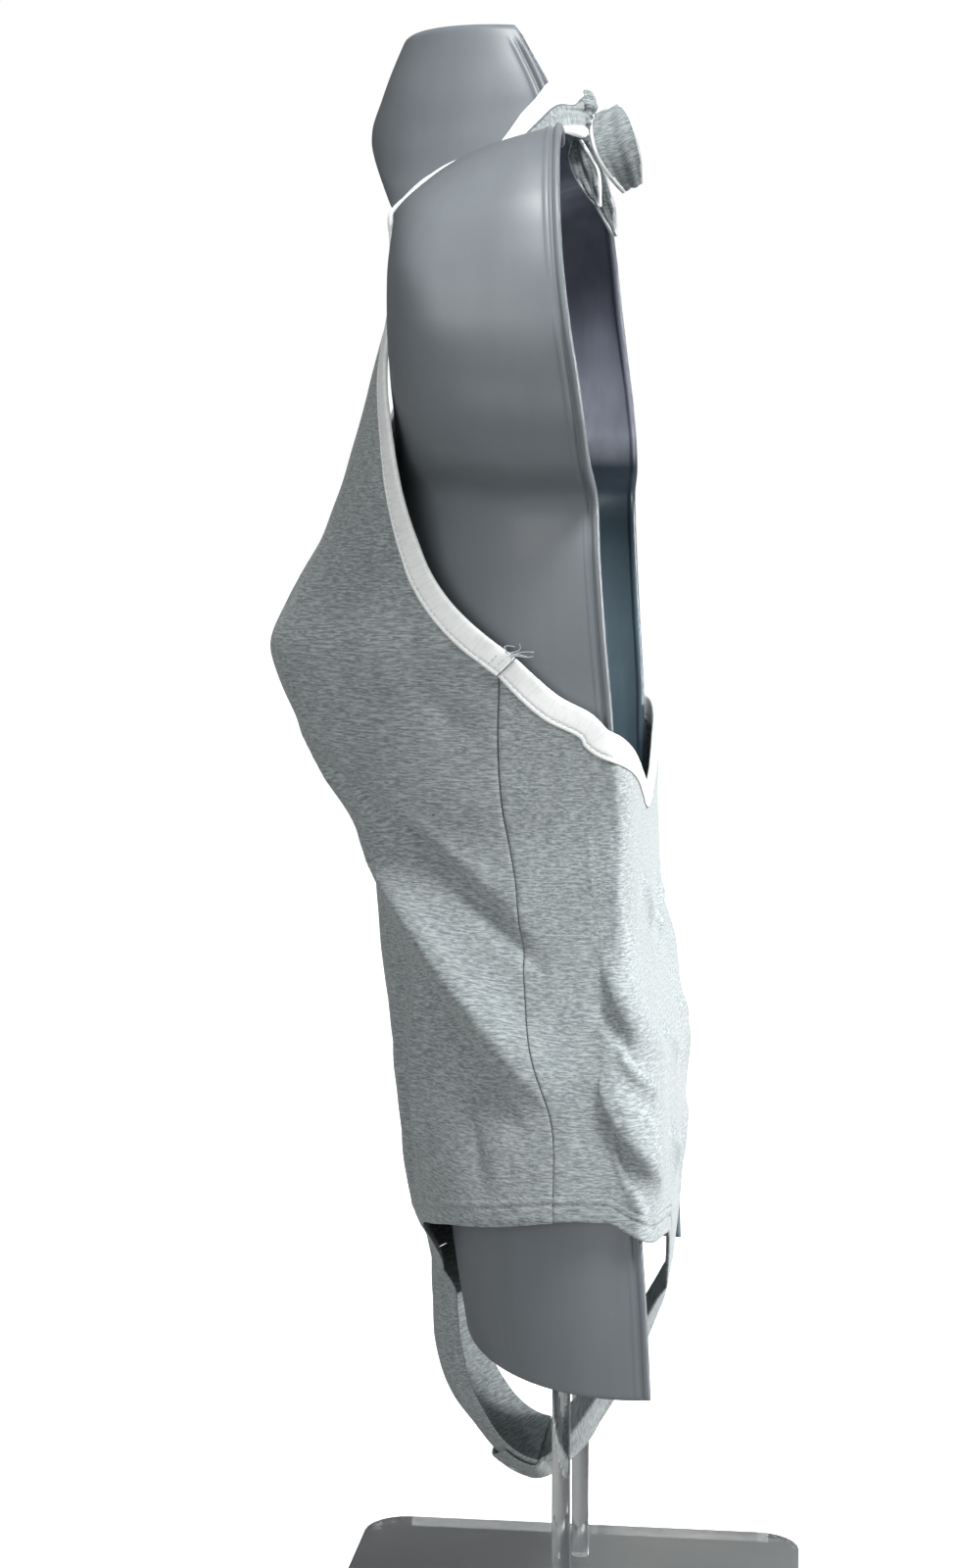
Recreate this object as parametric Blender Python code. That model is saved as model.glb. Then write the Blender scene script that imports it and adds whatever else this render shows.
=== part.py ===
"""Halter bodysuit of heather jersey with white binding, on a hollow half-shell dress form.

Metres, +Z up, the wearer's left is +X and the front is -Y. The origin is the
centre of the stand's underside.

The cloth is worked out from one surface, `cloth_surface`, which takes an angle
round the body (0 at the centre front, positive to the left, pi at the centre
back) and a height. Each panel is a grid of such angles and heights between its
seams and edges, given a wall by moving its points out and in along the normal.
The dress form is a second surface, `form_surface`, laid out in the same way.
"""
import math

import bpy
import numpy as np

# ---------------------------------------------------------------- driving sizes
SEAM_GAP = 0.0004          # between two pieces that are sewn together
GIRTH_RADIUS = 0.14        # turns a distance round the body into an angle, roughly
JERSEY = 0.0016            # thickness of the jersey
TAPE = 0.0026              # thickness of the folded binding, with the edge inside it
BINDING_WIDTH = 0.013
TAPE_GAP = 0.0006          # between a binding and the panel it edges
STRAP_GAP = 0.0009         # between a binding and the jersey of a strap, which twist
GATHERED_TAPE = 0.38       # a binding's largest share of the strap where it is gathered
TAPE_JOIN = (0.0, 0.7, 0.7)        # the armhole and back tapes meet along this line
VEE_MITRE = (0.0, 0.0, 1.4)        # and the two neckline tapes along this one
FORM_WALL = 0.003
FORM_BEAD = 0.0014         # how far the rolled rim stands out on each side of the wall

KNOT_SIZE = (0.0234, 0.0170, 0.0262)
KNOT_CENTRE = (0.0, 0.0045, 0.8300)
KNOT_FULLNESS = 3.5        # 2 is an ellipsoid, more is squarer
TIE_CLOTH = 0.0020         # thickness of the gathered strap ends

LAP_GAP = 0.0022           # between the two layers where the press studs sit
STUD_RADIUS = 0.0048
STUD_INSET = 0.020         # studs' distance from the centre line
STUD_GAP = 0.0006          # between a stud and each layer

BASE_SIZE = (0.22, 0.26, 0.008)
BASE_CORNER = 0.025
ROD_RADIUS = 0.005
ROD_OFFSET = 0.062
ROD_Y = 0.002
BRIDGE_DEPTH = 0.012
BRIDGE_BOTTOM = 0.190
BRIDGE_TOP = 0.208
FIT = 0.0003               # between the parts of the stand and the form

# ---------------------------------------------------------------- tables
# The garment's sections. Each half of a section is a superellipse about `side_y`.
CLOTH_COLUMNS = ("height", "half_width", "side_y", "front_y", "bust",
                 "front_fullness", "back_y", "back_fullness")
CLOTH_ROWS = (
    (0.190, 0.163, 0.040, -0.0735, 0.0000, 2.2, 0.0560, 5.0),
    (0.205, 0.165, 0.039, -0.0765, 0.0000, 2.2, 0.0570, 5.0),
    (0.230, 0.167, 0.037, -0.0815, 0.0000, 2.2, 0.0590, 5.0),
    (0.265, 0.168, 0.035, -0.0862, 0.0000, 2.2, 0.0600, 5.0),
    (0.300, 0.164, 0.032, -0.0905, 0.0000, 2.2, 0.0600, 5.0),
    (0.332, 0.157, 0.030, -0.0945, 0.0000, 2.2, 0.0580, 5.5),
    (0.360, 0.149, 0.028, -0.0985, 0.0000, 2.2, 0.0505, 6.5),
    (0.385, 0.143, 0.026, -0.1019, 0.0005, 2.2, 0.0462, 7.0),
    (0.410, 0.138, 0.024, -0.1032, 0.0020, 2.2, 0.0440, 7.0),
    (0.435, 0.135, 0.022, -0.1030, 0.0060, 2.2, 0.0430, 7.0),
    (0.455, 0.133, 0.020, -0.1035, 0.0165, 2.2, 0.0425, 7.0),
    (0.475, 0.134, 0.019, -0.1085, 0.0250, 2.3, 0.0426, 7.0),
    (0.495, 0.136, 0.018, -0.1140, 0.0300, 2.3, 0.0412, 7.0),
    (0.515, 0.139, 0.016, -0.1200, 0.0335, 2.3, 0.0395, 7.0),
    (0.535, 0.142, 0.014, -0.1260, 0.0360, 2.3, 0.0375, 6.0),
    (0.550, 0.146, 0.011, -0.1285, 0.0362, 2.3, 0.0360, 5.0),
    (0.573, 0.153, 0.006, -0.1245, 0.0305, 2.2, 0.0350, 4.0),
    (0.605, 0.168, 0.000, -0.1175, 0.0170, 2.1, 0.0350, 3.0),
    (0.650, 0.195, -0.008, -0.1075, 0.0075, 2.0, 0.0350, 3.0),
    (0.690, 0.205, -0.010, -0.0995, 0.0020, 2.1, 0.0350, 3.0),
    (0.720, 0.205, -0.010, -0.0912, 0.0000, 2.2, 0.0350, 3.0),
)
BUST_X = 0.078             # the two bust darts' points, from the centre front
BUST_SPREAD = 0.048

# Largest folds: a ridge (+) or trough (-) along a line on the cloth, from one
# (angle, height) to another. `rise` is its depth, `reach` its half width.
FOLD_COLUMNS = ("angle_a", "height_a", "angle_b", "height_b", "rise", "reach")
FOLD_ROWS = (
    (18.0, 0.452, 84.0, 0.316, 0.0050, 0.016),
    (16.0, 0.420, 66.0, 0.315, -0.0050, 0.018),
    (-22.0, 0.450, -80.0, 0.335, 0.0045, 0.017),
    (-16.0, 0.415, -62.0, 0.325, -0.0040, 0.018),
    (95.0, 0.396, 160.0, 0.335, 0.0045, 0.014),
    (88.0, 0.352, 150.0, 0.285, 0.0045, 0.013),
    (-97.0, 0.400, -165.0, 0.345, 0.0040, 0.015),
    (-90.0, 0.345, -150.0, 0.290, 0.0045, 0.014),
)

# Panel edges: the side seam, the armhole and the neckline, each as angle by height.
SEAM_COLUMNS = ("height", "angle")
SEAM_ROWS = ((0.18, 76.0), (0.27, 77.0), (0.32, 78.0), (0.35, 74.5), (0.39, 73.5),
             (0.44, 73.0), (0.49, 73.5), (0.54, 76.5))
ARMHOLE_COLUMNS = ("height", "angle")
ARMHOLE_ROWS = ((0.540, 76.5), (0.558, 68.5), (0.577, 62.0), (0.601, 55.3),
                (0.630, 48.2), (0.660, 41.8), (0.690, 34.8), (0.720, 27.5))
NECK_COLUMNS = ("height", "angle")
NECK_ROWS = ((0.615, 0.0), (0.640, 7.5), (0.665, 13.5), (0.690, 18.0), (0.720, 20.9))

# Leg hem: height by angle, from the crotch strap round to the side seam and on
# to the crotch strap again at the back.
HEM_COLUMNS = ("angle", "height")
HEM_ROWS = ((0.0, 0.2050), (6.0, 0.2050), (11.86, 0.2050), (14.5, 0.2150), (18.5, 0.2280),
            (26.0, 0.2415), (40.0, 0.2525), (60.0, 0.2620), (77.0, 0.2690),
            (92.0, 0.2700), (104.0, 0.2670), (130.0, 0.2580), (148.0, 0.2480),
            (159.0, 0.2350), (164.5, 0.2170), (168.1, 0.2000), (174.0, 0.2000), (180.0, 0.2000))

# Back panel's top edge: height by angle.
BACK_EDGE_COLUMNS = ("angle", "height")
BACK_EDGE_ROWS = ((76.5, 0.5400), (79.0, 0.5312), (82.0, 0.5225), (86.0, 0.5148), (92.0, 0.5083),
                  (100.0, 0.5035), (115.0, 0.4990), (132.0, 0.4940), (145.0, 0.4850),
                  (158.0, 0.4725), (170.0, 0.4630), (180.0, 0.4600))

# The dress form's sections. `front_z` and `side_z` differ over the shoulders,
# where a section climbs the arm stub and dips again beside the neck, `tilt`
# is how fast a section rises there towards the back, and `dip` is the depth of
# the hollow beside the neck.
FORM_COLUMNS = ("level", "front_z", "front_y", "side_z", "half_width", "side_y",
                "bust", "fullness", "rim_x", "rim_y", "tilt", "dip")
FORM_ROWS = (
    (0.176, 0.176, -0.0550, 0.176, 0.156, 0.042, 0.000, 2.0, 0.154, 0.0560, 0.00, 0.000),
    (0.220, 0.220, -0.0620, 0.220, 0.159, 0.040, 0.000, 2.0, 0.157, 0.0540, 0.00, 0.000),
    (0.270, 0.270, -0.0680, 0.270, 0.159, 0.037, 0.000, 2.0, 0.157, 0.0505, 0.00, 0.000),
    (0.320, 0.320, -0.0740, 0.320, 0.152, 0.033, 0.000, 2.0, 0.150, 0.0462, 0.00, 0.000),
    (0.370, 0.370, -0.0800, 0.370, 0.139, 0.028, 0.000, 2.1, 0.137, 0.0405, 0.00, 0.000),
    (0.420, 0.420, -0.0860, 0.420, 0.127, 0.023, 0.000, 2.1, 0.125, 0.0370, 0.00, 0.000),
    (0.460, 0.460, -0.0910, 0.460, 0.123, 0.019, 0.002, 2.1, 0.121, 0.0348, 0.00, 0.000),
    (0.490, 0.490, -0.0970, 0.490, 0.125, 0.017, 0.012, 2.1, 0.123, 0.0336, 0.00, 0.000),
    (0.515, 0.515, -0.1020, 0.515, 0.128, 0.016, 0.032, 2.1, 0.126, 0.0330, 0.00, 0.000),
    (0.535, 0.535, -0.1060, 0.535, 0.132, 0.014, 0.044, 2.2, 0.130, 0.0316, 0.00, 0.000),
    (0.550, 0.550, -0.1090, 0.550, 0.135, 0.012, 0.045, 2.2, 0.133, 0.0304, 0.00, 0.000),
    (0.570, 0.570, -0.1090, 0.570, 0.138, 0.010, 0.036, 2.2, 0.136, 0.0290, 0.00, 0.000),
    (0.600, 0.600, -0.1030, 0.600, 0.141, 0.008, 0.016, 2.2, 0.139, 0.0272, 0.00, 0.000),
    (0.620, 0.622, -0.0990, 0.624, 0.142, 0.006, 0.006, 2.2, 0.140, 0.0262, 0.00, 0.000),
    (0.630, 0.636, -0.0960, 0.631, 0.152, 0.002, 0.003, 2.2, 0.150, 0.0256, 0.00, 0.000),
    (0.640, 0.650, -0.0920, 0.640, 0.178, -0.008, 0.001, 2.2, 0.177, 0.0250, 0.00, 0.000),
    (0.655, 0.666, -0.0880, 0.656, 0.193, -0.013, 0.000, 2.5, 0.191, 0.0240, 0.00, 0.000),
    (0.680, 0.690, -0.0838, 0.682, 0.202, -0.015, 0.000, 3.5, 0.199, 0.0212, 0.00, 0.000),
    (0.710, 0.714, -0.0800, 0.712, 0.206, -0.016, 0.000, 4.9, 0.202, 0.0170, 0.02, 0.000),
    (0.735, 0.735, -0.0782, 0.742, 0.204, -0.017, 0.000, 5.7, 0.198, 0.0135, 0.05, 0.000),
    (0.755, 0.753, -0.0786, 0.770, 0.192, -0.018, 0.000, 5.0, 0.184, 0.0110, 0.12, 0.002),
    (0.770, 0.769, -0.0814, 0.789, 0.172, -0.019, 0.000, 4.2, 0.162, 0.0090, 0.22, 0.006),
    (0.782, 0.781, -0.0853, 0.799, 0.144, -0.021, 0.000, 3.4, 0.134, 0.0070, 0.28, 0.012),
    (0.792, 0.791, -0.0910, 0.802, 0.115, -0.024, 0.000, 2.7, 0.106, 0.0050, 0.31, 0.017),
    (0.801, 0.802, -0.0995, 0.799, 0.088, -0.028, 0.000, 2.2, 0.080, 0.0030, 0.31, 0.017),
    (0.810, 0.812, -0.1065, 0.801, 0.070, -0.033, 0.000, 2.0, 0.063, 0.0000, 0.31, 0.010),
    (0.822, 0.823, -0.1078, 0.817, 0.059, -0.037, 0.000, 2.0, 0.054, -0.0035, 0.20, 0.004),
    (0.838, 0.839, -0.1025, 0.836, 0.053, -0.040, 0.000, 2.0, 0.049, -0.0085, 0.06, 0.000),
    (0.856, 0.856, -0.0960, 0.856, 0.046, -0.043, 0.000, 2.0, 0.041, -0.0175, 0.00, 0.000),
    (0.8725, 0.8725, -0.0885, 0.8725, 0.041, -0.046, 0.000, 2.0, 0.037, -0.0265, 0.00, 0.000),
)
FORM_BUST_X = 0.076
FORM_BUST_SPREAD = 0.040
HOLLOW = 6.75              # scales s(1-s)^2, the hollow's shape, to a depth of 1
FORM_LEVELS = (0.176, 0.200, 0.230, 0.265, 0.300, 0.335, 0.370, 0.405, 0.440, 0.470,
               0.495, 0.515, 0.533, 0.550, 0.568, 0.587, 0.605, 0.618, 0.626, 0.634,
               0.642, 0.655, 0.675, 0.700, 0.722, 0.741, 0.755, 0.765, 0.773, 0.781,
               0.788, 0.795, 0.801, 0.806, 0.811, 0.817, 0.824, 0.836, 0.855, 0.8725)
FORM_SIDE_STEPS = 14       # columns from the centre front to the widest point
RIM_COLUMNS = (0.30, 0.60, 0.80, 0.88, 1.0)   # from the widest point to the rim
CAP_SCALES = (0.90, 0.45, 0.0)                # the neck's flat top, ring by ring

# The halter strap on the form: where its inner and outer edge lie, as the form's
# level and column (0 centre front, 1 widest point, 2 rim).
STRAP_COLUMNS = ("step", "inner_level", "inner_column", "outer_level", "outer_column", "lift")
STRAP_ROWS = (
    (0.0, 0.742, 0.185, 0.742, 0.3145, 0.0042),
    (1.0, 0.765, 0.205, 0.762, 0.335, 0.0055),
    (2.0, 0.788, 0.300, 0.780, 0.430, 0.0056),
    (3.0, 0.8015, 0.500, 0.792, 0.620, 0.0032),
    (4.0, 0.8095, 0.800, 0.7975, 0.860, 0.0030),
    (5.0, 0.817, 1.250, 0.800, 1.250, 0.0028),
    (6.0, 0.838, 2.000, 0.804, 2.000, 0.0042),
)
# From the rim to the knot: centre of the strap and the direction across it.
NAPE_COLUMNS = ("step", "x", "y", "z", "across_x", "across_y", "across_z", "width")
NAPE_ROWS = (
    (7.0, 0.0500, 0.0050, 0.8265, 0.05, -0.30, 0.95, 0.030),
    (8.0, 0.0310, 0.0065, 0.8290, 0.00, -0.20, 0.97, 0.0275),
    (9.0, 0.0123, 0.0070, 0.8310, 0.00, -0.15, 0.98, 0.0270),
)

# The bow's one loop: a band that leaves the knot on the left, turns at its tip and
# comes back on the right. The columns are the band's middle and its half width.
LOOP_COLUMNS = ("step", "x", "y", "z", "half_width")
LOOP_ROWS = (
    (0.0, 0.0045, 0.0190, 0.8305, 0.0055),
    (1.0, 0.0105, 0.0215, 0.8225, 0.0092),
    (2.0, 0.0130, 0.0248, 0.8120, 0.0108),
    (3.0, 0.0105, 0.0285, 0.8015, 0.0100),
    (4.0, 0.0000, 0.0315, 0.7925, 0.0075),
    (5.0, -0.0105, 0.0285, 0.8015, 0.0100),
    (6.0, -0.0130, 0.0248, 0.8120, 0.0108),
    (7.0, -0.0105, 0.0215, 0.8225, 0.0092),
    (8.0, -0.0045, 0.0190, 0.8305, 0.0055),
)
LOOP_ACROSS = (0.0, -0.90, -0.43)

# The two tails: middle line from the knot to the tip, with the half width and the
# turn of the width direction from +Y towards +X, in degrees.
TAIL_COLUMNS = ("step", "x", "y", "z", "half_width", "turn")
LEFT_TAIL_ROWS = (
    (0.0, 0.0045, 0.0030, 0.8166, 0.0040, 40.0),
    (1.0, 0.0080, 0.0045, 0.8090, 0.0070, 30.0),
    (2.0, 0.0100, 0.0080, 0.8000, 0.0080, 20.0),
    (3.0, 0.0110, 0.0120, 0.7890, 0.0055, 25.0),
    (4.0, 0.0120, 0.0154, 0.7805, 0.0010, 30.0),
)
RIGHT_TAIL_ROWS = (
    (0.0, -0.0045, 0.0060, 0.8166, 0.0040, -30.0),
    (1.0, -0.0055, 0.0090, 0.8080, 0.0060, -20.0),
    (2.0, -0.0060, 0.0130, 0.7955, 0.0065, -10.0),
    (3.0, -0.0060, 0.0185, 0.7800, 0.0050, -15.0),
    (4.0, -0.0080, 0.0228, 0.7670, 0.0010, -20.0),
)

# Crotch strap: the centre line in the Y-Z plane, from the front panel's hem
# down and round to the back panel's hem.
CROTCH_COLUMNS = ("step", "y", "z", "half_width", "cupping")
CROTCH_ROWS = (
    (0.0, -0.0765, 0.2046, 0.033, 0.0014),
    (1.0, -0.0758, 0.1780, 0.034, 0.0120),
    (2.0, -0.0742, 0.1570, 0.034, 0.0160),
    (3.0, -0.0687, 0.1370, 0.035, 0.0160),
    (4.0, -0.0590, 0.1190, 0.036, 0.0150),
    (5.0, -0.0450, 0.1010, 0.037, 0.0130),
    (6.0, -0.0300, 0.0880, 0.037, 0.0115),
    (7.0, -0.0140, 0.0830, 0.037, 0.0110),
    (8.0, 0.0000, 0.0880, 0.037, 0.0105),
    (9.0, 0.0120, 0.1010, 0.036, 0.0090),
    (10.0, 0.0220, 0.1190, 0.035, 0.0075),
    (11.0, 0.0330, 0.1390, 0.034, 0.0050),
    (12.0, 0.0440, 0.1610, 0.034, 0.0040),
    (13.0, 0.0530, 0.1830, 0.033, 0.0025),
    (14.0, 0.0565, 0.1996, 0.033, 0.0002),
)
CROTCH_PLACES = 7          # points across the crotch strap
CROTCH_SPREAD = math.radians(11.6)      # half its width where it leaves a panel
LAP_START = 5.35           # where the back strap's end lies under the front strap
LAP_END = 6.75             # where the front strap's end lies on the back strap

# Colours
HEATHER = (0.30, 0.33, 0.33)
OFF_WHITE = (0.86, 0.88, 0.86)
FORM_GREY = (0.19, 0.21, 0.225)
STUD_METAL = (0.62, 0.62, 0.60)
CLEAR = (0.86, 0.90, 0.91)


# ---------------------------------------------------------------- tables to values
def read_table(columns, rows, at):
    """Every column's smooth value where the first column is `at`.

    Cubic Hermite pieces between the rows, with the slope at a row taken from
    its neighbours on both sides.
    """
    data = np.array(rows, dtype=float)
    key = data[:, 0]
    slopes = np.gradient(data, key, axis=0)
    at = np.clip(np.asarray(at, dtype=float), key[0], key[-1])
    low = np.clip(np.searchsorted(key, at, side="right") - 1, 0, len(key) - 2)
    span = (key[low + 1] - key[low])[..., None]
    t = (at - key[low])[..., None] / span
    start, end = data[low], data[low + 1]
    rise_start, rise_end = slopes[low] * span, slopes[low + 1] * span
    values = ((2 * t**3 - 3 * t**2 + 1) * start + (t**3 - 2 * t**2 + t) * rise_start
              + (3 * t**2 - 2 * t**3) * end + (t**3 - t**2) * rise_end)
    return {name: values[..., i] for i, name in enumerate(columns)}


def unit(vectors):
    """Vectors scaled to length 1 along the last axis."""
    return vectors / np.linalg.norm(vectors, axis=-1, keepdims=True)


def superellipse(angle, fullness):
    """Radius at `angle` of the unit curve |sin|^n + |cos|^n = 1 for fullness n."""
    total = np.abs(np.sin(angle)) ** fullness + np.abs(np.cos(angle)) ** fullness
    return total ** (-1.0 / fullness)


def bust_curve(x, centre, spread):
    """Two soft bumps, one on each side of the centre front."""
    return np.exp(-((x - centre) / spread) ** 2) + np.exp(-((x + centre) / spread) ** 2)


# ---------------------------------------------------------------- the cloth's surface
def fold_height(angle, height):
    """Sum of the folds: each is a bell across its line, fading out at both ends."""
    total = np.zeros_like(angle)
    folds = np.array(FOLD_ROWS)
    for angle_a, height_a, angle_b, height_b, rise, reach in folds:
        start = np.array([math.radians(angle_a) * GIRTH_RADIUS, height_a])
        along = np.array([math.radians(angle_b) * GIRTH_RADIUS, height_b]) - start
        length = np.linalg.norm(along)
        along = along / length
        from_start = np.stack([angle * GIRTH_RADIUS, height], axis=-1) - start
        travelled = from_start @ along / length
        aside = from_start @ np.array([-along[1], along[0]])
        ends = np.clip(travelled * 3.5, 0, 1) * np.clip((1 - travelled) * 3.5, 0, 1)
        ends = ends * ends * (3 - 2 * ends)
        total = total + rise * ends * np.exp(-((aside / reach) ** 2))
    return total


def smooth_section(angle, height):
    """The garment without its folds."""
    row = read_table(CLOTH_COLUMNS, CLOTH_ROWS, height)
    front = np.cos(angle) >= 0
    fullness = np.where(front, row["front_fullness"], row["back_fullness"])
    radius = superellipse(angle, fullness)
    depth = np.where(front, row["side_y"] - row["front_y"], row["back_y"] - row["side_y"])
    x = row["half_width"] * radius * np.sin(angle)
    y = row["side_y"] - depth * radius * np.cos(angle)
    frontness = np.clip(np.cos(angle) * 2.0, 0, 1)
    y = y - row["bust"] * bust_curve(x, BUST_X, BUST_SPREAD) * frontness
    return np.stack([x, y, height + 0.0 * x], axis=-1)


def normal_of(surface, first, second):
    """Outward unit normal of a surface of two values, from small steps in both."""
    step = 1e-3
    across = surface(first + step, second) - surface(first - step, second)
    along = surface(first, second + step) - surface(first, second - step)
    return unit(np.cross(across, along))


def cloth_surface(angle, height):
    """Middle of the cloth at `angle` (radians) and `height`."""
    normal = normal_of(smooth_section, angle, height)
    return smooth_section(angle, height) + normal * fold_height(angle, height)[..., None]


def cloth_normal(angle, height):
    return normal_of(cloth_surface, angle, height)


def move_on_cloth(angle, height, direction, distance):
    """(angle, height) moved `distance` over the cloth along `direction`, a 3-D vector."""
    step = 1e-3
    for _ in range(4):
        by_angle = (cloth_surface(angle + step, height) - cloth_surface(angle - step, height)) / (2 * step)
        by_height = (cloth_surface(angle, height + step) - cloth_surface(angle, height - step)) / (2 * step)
        aa = (by_angle * by_angle).sum(-1)
        ah = (by_angle * by_height).sum(-1)
        hh = (by_height * by_height).sum(-1)
        da = (by_angle * direction).sum(-1)
        dh = (by_height * direction).sum(-1)
        det = aa * hh - ah * ah
        angle = angle + (da * hh - dh * ah) / det * distance / 4
        height = height + (dh * aa - da * ah) / det * distance / 4
    return angle, height


# ---------------------------------------------------------------- meshes
def grid_quads(rows, columns, first=0):
    """Quads of a grid of points stored row after row, facing the outer side."""
    return [(first + r * columns + c, first + r * columns + c + 1,
             first + (r + 1) * columns + c + 1, first + (r + 1) * columns + c)
            for r in range(rows - 1) for c in range(columns - 1)]


def material(name, colour, roughness, metallic=0.0, alpha=1.0):
    made = bpy.data.materials.get(name)
    if made:
        return made
    made = bpy.data.materials.new(name)
    made.use_nodes = True
    shader = made.node_tree.nodes["Principled BSDF"]
    shader.inputs["Base Color"].default_value = (*colour, 1.0)
    shader.inputs["Roughness"].default_value = roughness
    shader.inputs["Metallic"].default_value = metallic
    shader.inputs["Alpha"].default_value = alpha
    return made


def add_object(name, vertices, faces, finish):
    mesh = bpy.data.meshes.new(name)
    mesh.from_pydata([tuple(v) for v in vertices], [], faces)
    mesh.validate()
    mesh.materials.append(finish)
    thing = bpy.data.objects.new(name, mesh)
    bpy.context.scene.collection.objects.link(thing)
    return thing


def solid_between(name, outer, inner, quads, finish):
    """One closed solid: the outer face, the inner face, and a wall on every open edge.

    Points of a row that has shrunk to one place become a single vertex.
    """
    count = len(outer)
    directed = {(a, b) for quad in quads for a, b in zip(quad, quad[1:] + quad[:1])}
    faces = list(quads)
    faces += [tuple(v + count for v in reversed(quad)) for quad in quads]
    faces += [(b, a, a + count, b + count) for a, b in sorted(directed) if (b, a) not in directed]
    points = np.concatenate([outer, inner])
    places = {}
    same = [places.setdefault(tuple(np.round(p, 7)), i) for i, p in enumerate(points)]
    kept = sorted(set(same))
    order = {old: new for new, old in enumerate(kept)}
    merged = []
    for face in faces:
        corners = [order[same[v]] for v in face]
        corners = [v for i, v in enumerate(corners) if v != corners[i - 1]]
        if len(set(corners)) > 2:
            merged.append(tuple(corners))
    thing = add_object(name, points[kept], merged, finish)
    thing.data.shade_smooth()
    return thing


def wall(name, middle, normals, thickness, finish):
    """A grid of points with its normals, made into a wall of one thickness."""
    rows, columns = middle.shape[:2]
    outer = (middle + normals * thickness / 2).reshape(-1, 3)
    inner = (middle - normals * thickness / 2).reshape(-1, 3)
    return solid_between(name, outer, inner, grid_quads(rows, columns), finish)


def grid_normals(points):
    """Unit normals of a grid of points, from its neighbours in both directions."""
    across = np.gradient(points, axis=1)
    along = np.gradient(points, axis=0)
    return unit(np.cross(across, along))


# ---------------------------------------------------------------- the dress form
def form_surface(column, level):
    """Outer face of the form. `column` is 0 at the centre front, 1 at the widest
    point of the left side and 2 at the left rim; negative on the right.
    """
    row = read_table(FORM_COLUMNS, FORM_ROWS, level)
    side = np.sign(column)
    reach = np.abs(column)
    angle = np.clip(reach, 0, 1) * math.pi / 2
    back = np.clip(reach - 1, 0, 1)
    radius = superellipse(angle, row["fullness"])
    x = row["half_width"] * radius * np.sin(angle)
    x = x - (row["half_width"] - row["rim_x"]) * back**2
    y = row["side_y"] - (row["side_y"] - row["front_y"]) * radius * np.cos(angle)
    y = y + (row["rim_y"] - row["side_y"]) * back
    frontness = np.clip(np.cos(angle) * 2.0, 0, 1)
    y = y - row["bust"] * bust_curve(x, FORM_BUST_X, FORM_BUST_SPREAD) * frontness
    sideways = np.sin(angle) ** 2
    z = row["front_z"] + (row["side_z"] - row["front_z"]) * sideways
    z = z + row["tilt"] * (y - row["side_y"]) * sideways
    z = z - row["dip"] * HOLLOW * sideways * (1 - sideways) ** 2
    return np.stack([side * x + 0.0 * z, y, z], axis=-1)


def form_grid():
    """Outer points of the form, row by row from the bottom edge to the neck's flat top."""
    front = np.linspace(0, 1, FORM_SIDE_STEPS + 1)
    half = np.concatenate([front, 1 + np.array(RIM_COLUMNS)])
    columns = np.concatenate([-half[:0:-1], half])
    column, level = np.meshgrid(columns, np.array(FORM_LEVELS))
    points = form_surface(column, level)
    top = points[-1]
    centre = (top[0] + top[-1]) / 2
    cap = [centre + (top - centre) * scale for scale in CAP_SCALES]
    return np.concatenate([points, np.array(cap)]), columns


def make_form():
    outer, columns = form_grid()
    sides = len(FORM_LEVELS)
    up = np.array((0.0, 0.0, 1.0))
    normals = np.zeros_like(outer)
    normals[:sides] = grid_normals(outer[:sides])
    normals[sides:] = up
    normals[sides - 1] = unit(normals[sides - 2] + up)
    bead = np.clip((np.abs(columns) - 1.80) / 0.08, 0, 1)[None, :, None]
    bead = bead * np.ones((len(outer), 1, 1))
    bead[-len(CAP_SCALES):] = 0.0
    middle = outer - normals * FORM_WALL / 2
    half = FORM_WALL / 2 + FORM_BEAD * bead
    quads = grid_quads(*outer.shape[:2])
    finish = material("form_plastic", FORM_GREY, 0.42)
    solid_between("dress_form", (middle + normals * half).reshape(-1, 3),
                  (middle - normals * half).reshape(-1, 3), quads, finish)


# ---------------------------------------------------------------- panels
def edge_angle(columns, rows, height):
    """Angle in radians of a seam or edge at `height`."""
    return np.radians(read_table(columns, rows, height)["angle"])


def hem_height(angle):
    """Height of the leg hem at `angle`, the same on both sides."""
    degrees = np.degrees(np.abs(angle))
    return read_table(HEM_COLUMNS, HEM_ROWS, degrees)["height"]


SEAM_TOP = ARMHOLE_ROWS[0][0]
VEE = NECK_ROWS[0][0]
PANEL_TOP = ARMHOLE_ROWS[-1][0]
FRONT_STEPS = (0.0, 0.078, 0.156, 0.20, 0.25, 0.33, 0.43, 0.54, 0.65, 0.76, 0.88, 1.0)
LOW_ROWS = 6               # rows that spread from the hem's curve to a level line
LEVEL_LINE = 0.345
FRONT_HEIGHTS = (0.367, 0.389, 0.410, 0.430, 0.449, 0.468, 0.488, 0.507, 0.524,
                 SEAM_TOP, 0.554, 0.569, 0.585, 0.600, VEE, 0.630, 0.645, 0.660,
                 0.675, 0.690, 0.705, PANEL_TOP)


def seam_heights():
    """Heights of the rows along the side seam, the same for both panels."""
    bottom = hem_height(edge_angle(SEAM_COLUMNS, SEAM_ROWS, LEVEL_LINE))
    low = bottom + (LEVEL_LINE - bottom) * np.linspace(0, 1, LOW_ROWS)
    return np.concatenate([low, [h for h in FRONT_HEIGHTS if h <= SEAM_TOP]])


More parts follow.
